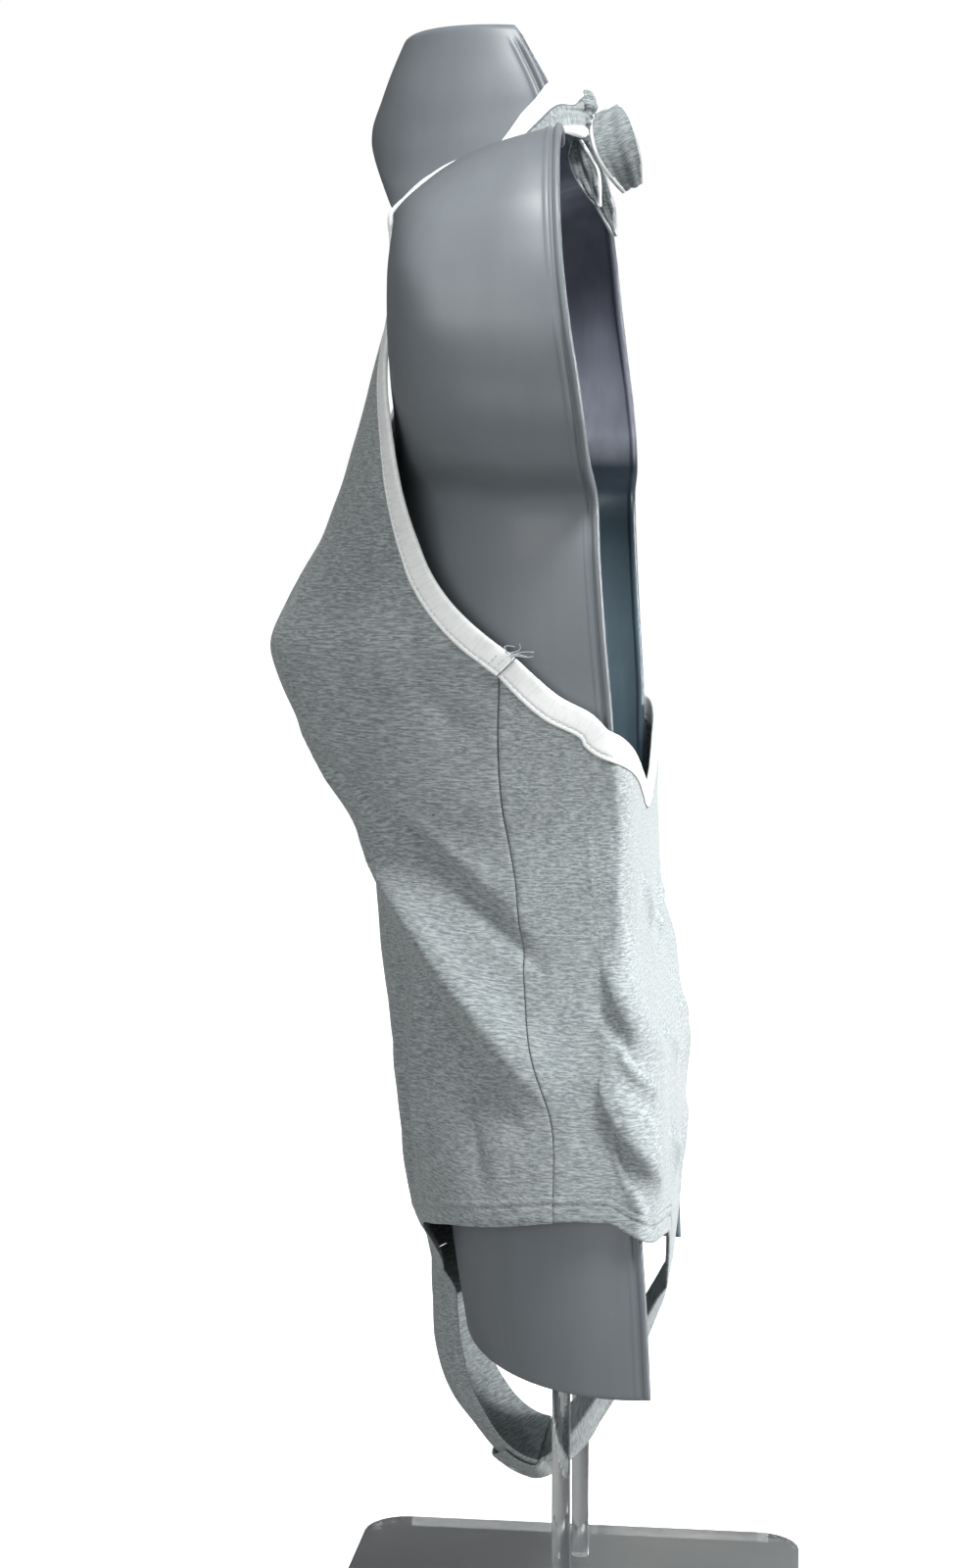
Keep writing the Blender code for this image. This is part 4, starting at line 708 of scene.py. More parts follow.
# ---------------------------------------------------------------- panels
HEM_FOLD = 0.0138          # depth of the turned hem
HEM_SEAMS = (0.0085, 0.0130)
HEM_RIDGE = 0.0108         # the raised cloth between the two rows of stitches
HEM_STARTS = (11.9, 14.0)  # degrees over which the hem begins beside the crotch's front
HEM_ENDS = (165.0, 168.0)  # and over which it ends beside the crotch's back
HEM_DISTANCES = np.array([0, 0.2, 0.6, 1.3, 2.5, 4.2, 6.0, 7.2, 7.8, 8.2, 8.5, 8.8, 9.2, 9.8, 11.0, 12.2,
                          12.7, 13.0, 13.3, 13.7, 14.2, 15.2, 17.0, 19.5]) / 1000


def hem_offset(angle):
    """How much higher a point has to be to lie one unit further from the sloping hem."""
    step = 0.01
    slope = (hem_height(angle + step) - hem_height(angle - step)) / (2 * step) / GIRTH_RADIUS
    return np.minimum(np.sqrt(1 + slope**2), 1.7)


def ripple(angle, height):
    """Slight unevenness: two crossing waves of changing length, weaker behind the seams."""
    wave = np.sin(46 * angle + 9 * np.sin(21 * height)) * np.sin(88 * height + 4 * np.sin(7 * angle))
    slant = np.sin(31 * angle - 150 * height)
    return (0.00022 * wave + 0.00012 * slant) * (0.25 + 0.75 * smooth_step(np.cos(angle), 0.0, 0.4))


def cloth_relief(angle, height, seam, crease_depth):
    """Height of the small shapes over the cloth's middle: creases, ripple, the roll
    beside the side seam, and the seam's uneven pucker."""
    pucker = np.sin(720 * height + 3 * np.sin(190 * height)) * bell(seam - 0.0035, 0.0030)
    return (crease_depth * crease_height(angle, height) + ripple(angle, height)
            - 0.0008 * bell(seam, 0.0009) + 0.00022 * pucker)


def hem_walls(angle, distance, seam, wall):
    """Thickness on the outer and the inner side: a second layer inside the turned hem, two
    grooves where it is stitched, and rounded edges. Over the crotch there is no hem."""
    degrees = np.degrees(np.abs(angle))
    turned = smooth_step(degrees, *HEM_STARTS) * smooth_step(-degrees, -HEM_ENDS[1], -HEM_ENDS[0])
    layer = 1 - smooth_step(distance, HEM_FOLD - 0.0004, HEM_FOLD + 0.0006)
    grooves = bell(distance - HEM_SEAMS[0], 0.0006) + bell(distance - HEM_SEAMS[1], 0.0006)
    ridge = bell(distance - HEM_RIDGE, 0.0012)
    out = wall / 2 + turned * (0.00030 * layer - 0.00045 * grooves + 0.0002 * ridge)
    inward = wall / 2 + turned * (0.0009 * layer - 0.0002 * grooves)
    end = turned * rounding(distance, 0.0016) + (1 - turned) * rounding(distance, 0.0006)
    end = end * rounding(seam, 0.0006)
    return out * end, inward * end


def front_grid():
    """Angles and heights of the front panel's left half, and distances from hem and seam.

    Low rows follow the hem at fixed distances, then spread to a level line. Above it each
    row is level, from the centre front or neckline out to the side seam or armhole."""
    steps = np.concatenate([np.linspace(0, 0.984, 70), [0.988, 0.9915, 0.9945, 0.997, 0.9988, 1.0]])
    seam = edge_angle(SEAM_COLUMNS, SEAM_ROWS, LEVEL_LINE)
    angle = steps[None, :] * seam
    near = hem_height(angle) + HEM_DISTANCES[:, None] * hem_offset(angle)
    share = np.linspace(0, 1, 40)[1:, None]
    low = np.concatenate([near, near[-1] * (1 - share) + LEVEL_LINE * share])
    low_angle = steps * edge_angle(SEAM_COLUMNS, SEAM_ROWS, low[:, -1:])
    high = np.concatenate([np.linspace(LEVEL_LINE, SEAM_TOP, 74)[1:], np.linspace(SEAM_TOP, VEE, 28)[1:],
                           np.linspace(VEE, PANEL_TOP, 38)[1:]])
    outer = np.where(high <= SEAM_TOP, edge_angle(SEAM_COLUMNS, SEAM_ROWS, high),
                     edge_angle(ARMHOLE_COLUMNS, ARMHOLE_ROWS, high))
    inner = np.where(high > VEE, edge_angle(NECK_COLUMNS, NECK_ROWS, high), 0.0)
    angle = np.concatenate([low_angle, inner[:, None] + steps * (outer - inner)[:, None]])
    height = np.concatenate([low, np.tile(high[:, None], (1, len(steps)))])
    sewn = height[:, -1] <= SEAM_TOP + 1e-6
    angle[sewn, -1] -= SEAM_GAP / 2 / GIRTH_RADIUS
    distance = (height - hem_height(angle)) / hem_offset(angle)
    to_seam = np.where(sewn[:, None], (angle[:, -1:] - angle) * GIRTH_RADIUS, 1.0)
    return angle, height, distance, to_seam


def build_front_panel(wall, crease_depth):
    """Both halves as one sheet, joined along the centre up to the V and apart above it."""
    angle, height, distance, seam = front_grid()
    rows, columns = angle.shape
    walls = hem_walls(angle, distance, seam, wall)
    layers, middles = [[], []], []
    for side in (1, -1):
        turned = side * angle
        relief = cloth_relief(turned, height, seam, crease_depth)
        middle = cloth_surface(turned, height) + cloth_normal(turned, height) * relief[..., None]
        normals = grid_normals(middle) * side
        layers[0].append(middle + normals * walls[0][..., None])
        layers[1].append(middle - normals * walls[1][..., None])
        middles.append(middle)
    left = np.arange(rows * columns).reshape(rows, columns)
    right = left + rows * columns
    joined = height[:, 0] <= VEE + 1e-6
    right[joined, 0] = left[joined, 0]
    quads = np.concatenate([index_quads(left), index_quads(right)[:, ::-1]])
    used, quads = np.unique(quads, return_inverse=True)
    quads = quads.reshape(-1, 4)
    points = np.concatenate([np.concatenate(layer).reshape(-1, 3)[used] for layer in layers])
    uv = np.concatenate([np.stack([side * angle * GIRTH_RADIUS, height], axis=-1) for side in (1, -1)])
    uv = np.tile(uv.reshape(-1, 2)[used], (2, 1))
    panel = add_piece("jersey_front", points, two_sided(quads, len(used)), [heather_jersey()],
                      ["front_panel"], uv)
    (width, length), area = flat_size(middles[0])
    return panel


def back_grid():
    """Angles and heights of the whole back panel, with distances from the hem and the
    nearer side seam. Rows follow the hem low down and the scooped edge at the top."""
    steps = np.concatenate([[0, 0.0015, 0.0035, 0.006, 0.009, 0.013], np.linspace(0.018, 1, 62)])
    bottom = hem_height(edge_angle(SEAM_COLUMNS, SEAM_ROWS, LEVEL_LINE))
    share = np.concatenate([np.zeros(len(HEM_DISTANCES)), np.linspace(0, 1, 92)[1:]])[:, None]
    lift = np.concatenate([HEM_DISTANCES, np.full(91, HEM_DISTANCES[-1])])[:, None]
    seam_height = (bottom + lift) * (1 - share) + SEAM_TOP * share
    seam = edge_angle(SEAM_COLUMNS, SEAM_ROWS, seam_height) + SEAM_GAP / 2 / GIRTH_RADIUS
    angle = seam + steps * (math.pi - seam)
    top = read_table(BACK_EDGE_COLUMNS, BACK_EDGE_ROWS, np.degrees(angle))["height"]
    height = (hem_height(angle) + lift * hem_offset(angle)) * (1 - share) + top * share
    height[:, 0] = seam_height[:, 0]
    to_seam = (angle - seam) * GIRTH_RADIUS
    angle = wrap(np.concatenate([angle, 2 * math.pi - angle[:, -2::-1]], axis=1))
    height, to_seam = (np.concatenate([grid, grid[:, -2::-1]], axis=1) for grid in (height, to_seam))
    return angle, height, (height - hem_height(angle)) / hem_offset(angle), to_seam


def wrap(angle):
    """Angles past pi as negative ones, so that each side's folds are read."""
    return np.where(angle > math.pi, angle - 2 * math.pi, angle)


def build_back_panel(wall, crease_depth):
    """One sheet from side seam to side seam."""
    angle, height, distance, seam = back_grid()
    relief = cloth_relief(angle, height, seam, crease_depth)
    middle = cloth_surface(angle, height) + cloth_normal(angle, height) * relief[..., None]
    out, inward = hem_walls(angle, distance, seam, wall)
    uv = np.stack([path_lengths(middle, 1), height], axis=-1)
    panel = add_wall("jersey_back", middle, grid_normals(middle), out, inward, [heather_jersey()],
                     ["back_panel"], uv=uv)
    size, area = flat_size(middle)
    return panel


# ---------------------------------------------------------------- straps and tapes
FRONT_HEIGHTS = (0.367, 0.389, 0.410, 0.430, 0.449, 0.468, 0.488, 0.507, 0.524,
                 SEAM_TOP, 0.554, 0.569, 0.585, 0.600, VEE, 0.630, 0.645, 0.660,
                 0.675, 0.690, 0.705, PANEL_TOP)
BACK_STEPS = (0.0, 0.035, 0.075, 0.130, 0.200, 0.290, 0.380, 0.460, 0.540, 0.620, 0.700,
              0.780, 0.840, 0.885, 0.943, 1.0)

# Section of the folded tape, as distance from the cloth's edge and height over its
# middle. It starts in the slot that takes the edge and ends at the fold.
TAPE_SECTION = (
    (0.0004, 0.00080), (-0.0006, 0.00080), (-0.0010, 0.00098), (-0.0009, 0.00122), (-0.0004, 0.00138),
    (0.0003, 0.00142), (0.0009, 0.00136), (0.0013, 0.00108), (0.0017, 0.00108), (0.0021, 0.00136),
    (0.0030, 0.00144), (0.0050, 0.00142), (0.0075, 0.00140), (0.0100, 0.00138), (0.0118, 0.00126),
    (0.0127, 0.00096), (0.0131, 0.00040),
)
TAPE_GROOVE = (0.0015, 0.00112)
STRAP_RUN = 0.15           # turns a share of the strap into a distance, roughly


def strap_grid():
    """Points across the left strap with its tapes, row by row from the cup's top to the
    knot, and their normals.

    The columns are the inner tape, the jersey and the outer tape, each given as an edge and
    how many tape widths and gaps it lies in from that edge. The first rows lie on the form,
    the last ones run freely to the knot."""
    steps = np.linspace(0, STRAP_ROWS[-1][0], 19)
    on_form = read_table(STRAP_COLUMNS, STRAP_ROWS, steps)
    free = read_table(NAPE_COLUMNS, NAPE_ROWS, np.array([row[0] for row in NAPE_ROWS]))
    lift = on_form["lift"][:, None]

    def resting(place):
        """Points on the form at a share of the way across the strap, lifted off it."""
        level = on_form["inner_level"] * (1 - place) + on_form["outer_level"] * place
        column = on_form["inner_column"] * (1 - place) + on_form["outer_column"] * place
        return form_surface(column, level) + normal_of(form_surface, column, level) * lift

    width = np.linalg.norm(resting(1.0) - resting(0.0), axis=-1)
    centre = middle_line(free)
    across = unit(np.stack([free["across_x"], free["across_y"], free["across_z"]], axis=-1))
    tape = np.minimum(TAPE_WIDTH, width * GATHERED_TAPE[0])
    free_tape = np.minimum(TAPE_WIDTH, free["width"] * np.array(GATHERED_TAPE))
    pinch = 1 - OUTER_PINCH * smooth_step(steps, *PINCHED_STEPS)
    grid = []
    for edge, tapes, gaps in ((0, 0, 0), (0, 0.5, 0), (0, 1, 0), (0, 1, 1), (0.5, 0, 0),
                              (1, -1, -1), (1, -1, 0), (1, -0.5, 0), (1, 0, 0)):
        share = pinch if edge == 1 else np.ones_like(pinch)
        low = resting(edge + (tapes * tape * share + gaps * STRAP_GAP) / width)
        offset = (0.5 - edge) * free["width"] - tapes * free_tape * share[-1] - gaps * STRAP_GAP
        grid.append(np.concatenate([low, centre + across * offset[:, None]]))
    points = np.stack(grid, axis=1)
    normals = grid_normals(points)
    for pair in (slice(2, 4), slice(5, 7)):
        normals[:, pair] = unit(normals[:, pair].sum(axis=1, keepdims=True))
    return points, normals


def beside_edge(angle, height, sign, ends):
    """Three rows of points beside an edge: the gap off it, a tape's middle and its outer edge.
    `ends` gives the direction of the tape's cut ends, by row."""
    edge = cloth_surface(angle, height)
    edge_normal = cloth_normal(angle, height)
    outward = unit(np.cross(unit(np.gradient(edge, axis=0)), edge_normal)) * sign
    for row, direction in ends.items():
        outward[row] = direction
    rows = [move_on_cloth(angle, height, outward, distance)
            for distance in (TAPE_GAP, TAPE_WIDTH / 2, TAPE_WIDTH)]
    middle = np.stack([cloth_surface(a, h) for a, h in rows], axis=1)
    normals = np.stack([edge_normal] + [cloth_normal(a, h) for a, h in rows[1:]], axis=1)
    return middle, normals


def dense(points, normals, rows):
    """A tape's or strap's grid and its normals at more rows."""
    columns = points.shape[1]
    return refine(points, rows, columns), unit(refine(normals, rows, columns))


def armhole_spine():
    """From the side seam up the armhole, then along the strap's outer edge to the knot."""
    heights = np.array([h for h in FRONT_HEIGHTS if h >= SEAM_TOP])
    angles = edge_angle(ARMHOLE_COLUMNS, ARMHOLE_ROWS, heights)
    angles[0] -= SEAM_GAP / 2 / GIRTH_RADIUS
    low, low_normals = beside_edge(angles, heights, 1.0, {0: TAPE_JOIN})
    points, normals = strap_grid()
    rows = np.concatenate([np.linspace(0, 1, 21), np.linspace(1, len(low) + len(points) - 1, 200)[1:]])
    return dense(np.concatenate([low, points[:, 6:]]), np.concatenate([low_normals, normals[:, 6:]]), rows)


def neckline_spine():
    """From the V up the neckline, then along the strap's inner edge to the knot."""
    heights = np.array([h for h in FRONT_HEIGHTS if h >= VEE])
    angles = edge_angle(NECK_COLUMNS, NECK_ROWS, heights)
    angles[0] += SEAM_GAP / 2 / GIRTH_RADIUS
    low, low_normals = beside_edge(angles, heights, -1.0, {0: VEE_MITRE})
    points, normals = strap_grid()
    middle = np.concatenate([low, points[:, 2::-1]])
    return dense(middle, np.concatenate([low_normals, normals[:, 2::-1]]), 190)


def back_spine():
    """Along the scooped back edge, from the left side seam to the right one."""
    seam = edge_angle(SEAM_COLUMNS, SEAM_ROWS, SEAM_TOP) + SEAM_GAP / 2 / GIRTH_RADIUS
    angle = seam + np.array(BACK_STEPS) * (math.pi - seam)
    height = read_table(BACK_EDGE_COLUMNS, BACK_EDGE_ROWS, np.degrees(angle))["height"]
    angle = np.concatenate([angle, 2 * math.pi - angle[-2::-1]])
    height = np.concatenate([height, height[-2::-1]])
    return dense(*beside_edge(wrap(angle), height, -1.0, {0: TAPE_JOIN, -1: TAPE_JOIN}), 260)


def on_tape(spine, normals, section, swell):
    """Points of a section at every row of a tape: distances run along the parabola through the
    spine's three points, or straight on over the cloth, and heights along its normals."""
    place = np.clip((section[:, 0] - TAPE_GAP) / (TAPE_WIDTH - TAPE_GAP), 0, 1)
    weights = np.stack([(1 - place) * (1 - 2 * place), 4 * place * (1 - place), place * (2 * place - 1)])
    points = np.einsum("km,rkx->rmx", weights, spine)
    facing = unit(np.einsum("km,rkx->rmx", weights, normals))
    away = unit(spine[:, 0] - spine[:, 1])[:, None]
    over = np.clip(TAPE_GAP - section[:, 0], 0, None)[None, :, None] * away
    return points + over + facing * (section[:, 1] * swell[:, None])[..., None], facing


def add_tape(name, spine, normals, slot_name, swell=None, side=1):
    """A tape folded over the cloth's edge: its closed section swept along a spine."""
    swell = np.ones(len(spine)) if swell is None else swell
    half = np.array(TAPE_SECTION)
    section = np.concatenate([half, half[::-1] * (1, -1)])
    along = path_lengths(spine[:, 1], 0)
    uneven = 1 + 0.05 * np.sin(along * 310 + 2 * np.sin(along * 97))
    points, _ = on_tape(spine, normals, section, swell * uneven)
    if side < 0:
        points = points * MIRROR
    faces = face_outward(points.reshape(-1, 3), tube_faces(len(spine), len(section)))
    around = path_lengths(section, 0)
    uv = np.stack(np.broadcast_arrays(along[:, None], around[None, :]), axis=-1)
    tape = add_piece(name, points, faces, [white_tape()], [slot_name], uv)
    return tape


def build_tapes():
    """Five tapes. The armhole tapes' lower ends are folded over the back tape's ends, so
    they are thicker there."""
    made = []
    spine, normals = armhole_spine()
    along = path_lengths(spine[:, 1], 0)
    swell = 1 + 0.42 * (1 - smooth_step(along, 0.0088, 0.0096))
    for side in (1, -1):
        made.append(add_tape(sided("tape_armhole", side), spine, normals,
                             sided("armhole_binding", side), swell, side))
    spine, normals = neckline_spine()
    for side in (1, -1):
        made.append(add_tape(sided("tape_neckline", side), spine, normals,
                             sided("neckline_binding", side), None, side))
    spine, normals = back_spine()
    made.append(add_tape("tape_back", spine, normals, "back_binding"))
    return made


def build_straps(wall):
    """Jersey between a strap's two tapes. Towards the knot it is gathered into long pleats,
    whose height is a sum of sines across the strap, faded out at both edges."""
    inner = edge_angle(NECK_COLUMNS, NECK_ROWS, PANEL_TOP)
    outer = edge_angle(ARMHOLE_COLUMNS, ARMHOLE_ROWS, PANEL_TOP)
    seam = np.linspace(inner, outer, 3), np.full(3, PANEL_TOP + SEAM_GAP)
    points, _ = strap_grid()
    grid = refine(np.concatenate([cloth_surface(*seam)[None], points[:, 3:6]]), 190, 31)
    normals = grid_normals(grid)
    place = np.linspace(-1, 1, grid.shape[1])[None, :]
    along = np.linspace(0, 1, grid.shape[0])[:, None]
    gather = smooth_step(along, 0.25, 0.95) * smooth_step(1 - np.abs(place), 0.0, 0.3)
    pleats = np.sin(9 * place + 2.2 * np.sin(5 * along)) + 0.6 * np.sin(17 * place + 3 * along)
    grid = grid + normals * (0.00055 * gather * pleats)[..., None]
    half = wall / 2 * rounding(along * STRAP_RUN, 0.0006) * np.ones_like(place)
    made = []
    for side in (1, -1):
        middle, facing = (grid, normals) if side > 0 else (mirrored(grid), mirrored(normals))
        strap = add_wall(sided("jersey_strap", side), middle, facing, half, half, [heather_jersey()],
                         [sided("halter_strap", side)])
        size, area = flat_size(grid)
        made.append(strap)
    return made


# ---------------------------------------------------------------- knot, loop and tails
KNOT_WRAPS = (              # a plane's normal, its offset, and the depth and width of the groove
    (0.85, 0.15, 0.50, 0.10, 0.0016, 0.10),
    (-0.80, 0.10, 0.58, -0.05, 0.0013, 0.09),
    (0.20, 0.30, 0.93, 0.42, 0.0012, 0.08),
    (0.55, -0.20, -0.80, 0.38, 0.0013, 0.08),
    (-0.35, 0.80, 0.45, 0.50, 0.0011, 0.07),
    (0.97, -0.15, 0.20, -0.55, 0.0012, 0.08),
)


def ball_grid(steps):
    """Directions spread over a cube's six faces, and their quads, with shared edges joined."""
    place = np.tan(np.linspace(-1, 1, steps) * math.pi / 4)
    u, v = np.meshgrid(place, place)
    points, quads = [], []
    for axis in range(3):
        for sign in (1, -1):
            face = np.roll(np.stack([np.full_like(u, sign), u, v * sign], axis=-1), axis, axis=-1)
            quads.append(grid_quads(steps, steps) + len(points) * steps * steps)
            points.append(face.reshape(-1, 3))
    points = np.round(unit(np.concatenate(points)), 9)
    points, index = np.unique(points, axis=0, return_inverse=True)
    return points, index.reshape(-1)[np.concatenate(quads)]


def build_knot():
    """A superellipsoid with a groove along each of six planes, and a fine gather between."""
    direction, quads = ball_grid(34)
    size = (np.abs(direction) ** KNOT_FULLNESS).sum(-1, keepdims=True) ** (-1 / KNOT_FULLNESS)
    relief = np.zeros(len(direction))
    for *plane, offset, depth, reach in KNOT_WRAPS:
        aside = direction @ np.array(plane) - offset
        relief -= depth * bell(aside, reach)
        relief += 0.35 * depth * bell(aside - 2.2 * reach, reach)
    relief += 0.00018 * np.sin(direction @ np.array([31.0, 9.0, 24.0]))
    points = direction * size * np.array(KNOT_SIZE) / 2 + direction * relief[:, None] + np.array(KNOT_CENTRE)
    uv = np.stack([points[:, 0] + points[:, 1], points[:, 2]], axis=-1)
    knot = add_piece("tie_knot", points, face_outward(points, quads), [heather_jersey()],
                     ["nape_knot"], uv)
    return knot


def band(centre, across, half_width, turns):
    """A strip's grid refined from a middle line: pleats run along it, deeper near the knot."""
    places = np.linspace(-1, 1, 5)[None, :, None]
    grid = refine(centre[:, None] + places * across * half_width[:, None, None], 150, 33)
    normals = grid_normals(grid)
    place = np.linspace(-1, 1, 33)[None, :]
    along = np.linspace(0, 1, 150)[:, None]
    pleats = np.sin(turns * place + 3 * np.sin(4 * along)) + 0.5 * np.sin(2.3 * turns * place + 5 * along)
    soft = 0.0003 * np.sin(23 * along + 2 * place)
    return grid + normals * ((0.00045 * pleats + soft) * smooth_step(1 - np.abs(place), 0, 0.35))[..., None]


def add_band(name, grid, replaced):
    """A strap end: jersey in the middle and a white tape along each edge, with a soft rim."""
    normals = grid_normals(grid)
    width = path_lengths(grid, 1)
    to_edge = np.minimum(width, width[:, -1:] - width)
    length = path_lengths(grid, 0)
    to_end = np.minimum(length, length[-1:] - length)
    tape = 1 - smooth_step(to_edge, 0.0020, 0.0024)
    half = (0.0008 + 0.00025 * tape - 0.0003 * bell(to_edge - 0.0023, 0.0003)) * rounding(to_edge, 0.0009)
    half = half * rounding(to_end, 0.0009)
    tape_face = (to_edge[:-1, :-1] + to_edge[1:, 1:] < 0.0044).astype(int)
    piece = add_wall(name, grid, normals, half, half, [heather_jersey(), white_tape()],
                     [replaced], finish_of_quad=tape_face)
    size, area = flat_size(grid)
    return piece


LOOP_FULLNESS = 1.18


def build_loop():
    """The bow's one loop, which leaves the knot on the left and comes back on the right."""
    row = read_table(LOOP_COLUMNS, LOOP_ROWS, np.linspace(0, LOOP_ROWS[-1][0], 25))
    centre = middle_line(row)
    grid = band(centre, -unit(np.array(LOOP_ACROSS)), row["half_width"] * LOOP_FULLNESS, 4.5)
    return add_band("tie_loop_band", grid, "tie_loop")


def build_tail(name, rows, replaced):
    """One free strap end, from the knot to its pointed tip."""
    row = read_table(TAIL_COLUMNS, rows, np.linspace(0, rows[-1][0], 13))
    centre = middle_line(row)
    turn = np.radians(row["turn"])
    across = np.stack([np.sin(turn), np.cos(turn), 0 * turn], axis=-1)[:, None, :]
    return add_band(name, band(centre, across, row["half_width"], 6.0), replaced)


# ---------------------------------------------------------------- crotch strap
CROTCH_HEM = 0.0050        # from the strap's edge to the stitches of its hem
BOX_HALF = 0.0095          # half a stitched box, round each press stud
BOX_ROUND = 0.0030
BOX_FROM_END = 0.0128      # from the strap's free end to the boxes' middles
STUD_INSET = 0.0200        # from the strap's middle line to a stud
STRAP_CREASES = (           # across and along at both ends, bow, rise and reach
    (-0.012, 0.020, -0.006, 0.105, 0.004, 0.0011, 0.0045),
    (0.010, 0.012, 0.014, 0.085, -0.003, 0.0010, 0.0040),
    (0.020, 0.045, 0.008, 0.120, 0.003, -0.0010, 0.0050),
    (-0.020, 0.060, -0.012, 0.135, -0.003, -0.0009, 0.0045),
    (0.002, 0.030, 0.000, 0.095, 0.002, -0.0008, 0.0050),
)


def crotch_points(steps, offset):
    """Rows across the crotch strap, cupped so that its edges turn towards the body."""
    row = read_table(CROTCH_COLUMNS, CROTCH_ROWS, steps)
    centre = np.stack([0 * row["y"], row["y"], row["z"]], axis=-1)
    tangent = unit(np.gradient(centre, axis=0))
    outward = np.stack([0 * row["y"], tangent[:, 2], -tangent[:, 1]], axis=-1)
    across = np.linspace(-1, 1, CROTCH_PLACES)
    points = centre[:, None, :] + outward[:, None, :] * offset
    points = points - outward[:, None, :] * (row["cupping"][:, None] * across**2)[..., None]
    points[..., 0] = row["half_width"][:, None] * across
    return points


def hem_row(middle_angle, height):
    """The strap's row beside a panel's hem, from the right side to the left."""
    turn = np.linspace(-1, 1, CROTCH_PLACES) * CROTCH_SPREAD
    angle = wrap(middle_angle + turn * (1 if middle_angle == 0 else -1))
    return cloth_surface(angle, np.full(CROTCH_PLACES, height - SEAM_GAP))[None]


def strap_relief(across, along):
    """Long shallow folds down the strap, as bells beside bowed lines."""
    total = 0.0002 * np.sin(along * 190 + 40 * across) * np.sin(across * 150 + 2)
    for across_a, along_a, across_b, along_b, bow, rise, reach in STRAP_CREASES:
        travelled, aside = beside_line(across, along, (across_a, along_a), (across_b, along_b))
        aside = aside - bowed(bow, travelled)
        ends = fade_at_ends(travelled)
        total = total + rise * ends * bell(aside, reach)
    return total


def box_distance(across, from_end):
    """Distance from the outline of the rounded boxes stitched round the two press studs."""
    x = np.abs(np.abs(across) - STUD_INSET) - (BOX_HALF - BOX_ROUND)
    y = np.abs(from_end - BOX_FROM_END) - (BOX_HALF - BOX_ROUND)
    outside = np.hypot(np.maximum(x, 0), np.maximum(y, 0)) + np.minimum(np.maximum(x, y), 0)
    return np.abs(outside - BOX_ROUND)


def add_crotch_strap(name, coarse, free_end, wall, replaced):
    """A strap with hemmed edges and a hemmed free end, from a coarse grid of its middle.
    The stitch grooves run 5 mm inside the edges and round the two boxes."""
    edge = np.array([0, 0.006, 0.02, 0.045, 0.08, 0.11, 0.128, 0.138, 0.143, 0.148, 0.158, 0.175, 0.20])
    places = np.concatenate([edge * 3, np.linspace(0.65, 5.35, 44), 6 - edge[::-1] * 3])
    last = len(coarse) - 1
    end = np.array([0, 0.02, 0.06, 0.13, 0.25, 0.4])
    rows = np.concatenate([end, np.linspace(0.5, last - 0.5, 150), last - end[::-1]])
    grid = refine(coarse[:, ::-1], rows, places)
    normals = grid_normals(grid)
    width, length = path_lengths(grid, 1), path_lengths(grid, 0)
    to_edge = np.minimum(width, width[:, -1:] - width)
    from_end = length if free_end == 0 else length[-1:] - length
    from_seam = length[-1:] - from_end
    across = width - width[:, -1:] / 2
    relief = strap_relief(across, from_seam) * smooth_step(to_edge, 0.003, 0.010)
    relief = relief * smooth_step(from_end, 0.025, 0.045) * smooth_step(from_seam, 0.0, 0.02)
    layer = 1 - smooth_step(np.minimum(to_edge, from_end), 0.0056, 0.0062)
    grooves = bell(to_edge - CROTCH_HEM, 0.0006) + bell(box_distance(across, from_end), 0.0006)
    grooves = np.minimum(grooves, 1)
    ends = rounding(to_edge, 0.0012) * rounding(from_end, 0.0012) * rounding(from_seam, 0.0006)
    out = (wall / 2 + 0.00028 * layer - 0.00042 * grooves) * ends
    inward = (wall / 2 + 0.00020 * layer - 0.00020 * grooves) * ends
    grid = grid + normals * relief[..., None]
    strap = add_wall(name, grid, normals, out, inward, [heather_jersey()], [replaced])
    size, area = flat_size(grid)
    return strap, grid, normals, out


def crotch_grids():
    """Coarse grids of the two straps' middles: the front one from its hem down to the lap,
    and the back one from the lap, where it lies outside, up to its hem."""
    front = crotch_points(np.linspace(0.4, LAP_END, 15), 0.0)
    front = np.concatenate([hem_row(0.0, HEM_ROWS[0][1]), front])
    steps = np.linspace(LAP_START, CROTCH_ROWS[-1][0] - 0.4, 18)
    offset = (LAP_GAP + CAD_JERSEY) * np.clip((LAP_END + 1.0 - steps) / 0.8, 0, 1)
    back = crotch_points(steps, offset[:, None, None])
    return front, np.concatenate([back, hem_row(math.pi, HEM_ROWS[-1][1])])


# ---------------------------------------------------------------- stitches and threads
HEM_THREAD = 0.00024       # radii of the threads
CROTCH_THREAD = 0.00025
TAPE_THREAD = 0.00030
JOIN_PITCH = 0.0026
CROTCH_PITCH = 0.0030
STITCH_LENGTH = 0.0021     # of a stitch at the joins and on the crotch strap


def bead_points(path, facing, pitch, length, radius):
    """Stitches along a path: each is a bent bead of five rings whose ends dip in."""
    travelled = path_lengths(path, 0)
    centres = np.arange(pitch, travelled[-1] - pitch / 2, pitch)
    at = centres[:, None] + np.array([-0.5, -0.32, 0.0, 0.32, 0.5]) * length
    place = np.stack([np.interp(at, travelled, path[:, i]) for i in range(3)], axis=-1)
    out = unit(np.stack([np.interp(at, travelled, facing[:, i]) for i in range(3)], axis=-1))
    along = unit(np.gradient(place, axis=1))
    side = unit(np.cross(along, out))
    turn = np.arange(6)[:, None] * math.pi / 3
    size = radius * np.array([0.40, 0.90, 1.00, 0.90, 0.40])[:, None, None]
    lift = radius * np.array([-0.75, 0.10, 0.40, 0.10, -0.75])[:, None]
    ring = np.cos(turn) * side[:, :, None] + 0.75 * np.sin(turn) * out[:, :, None]
    return (place + out * lift)[:, :, None] + ring * size


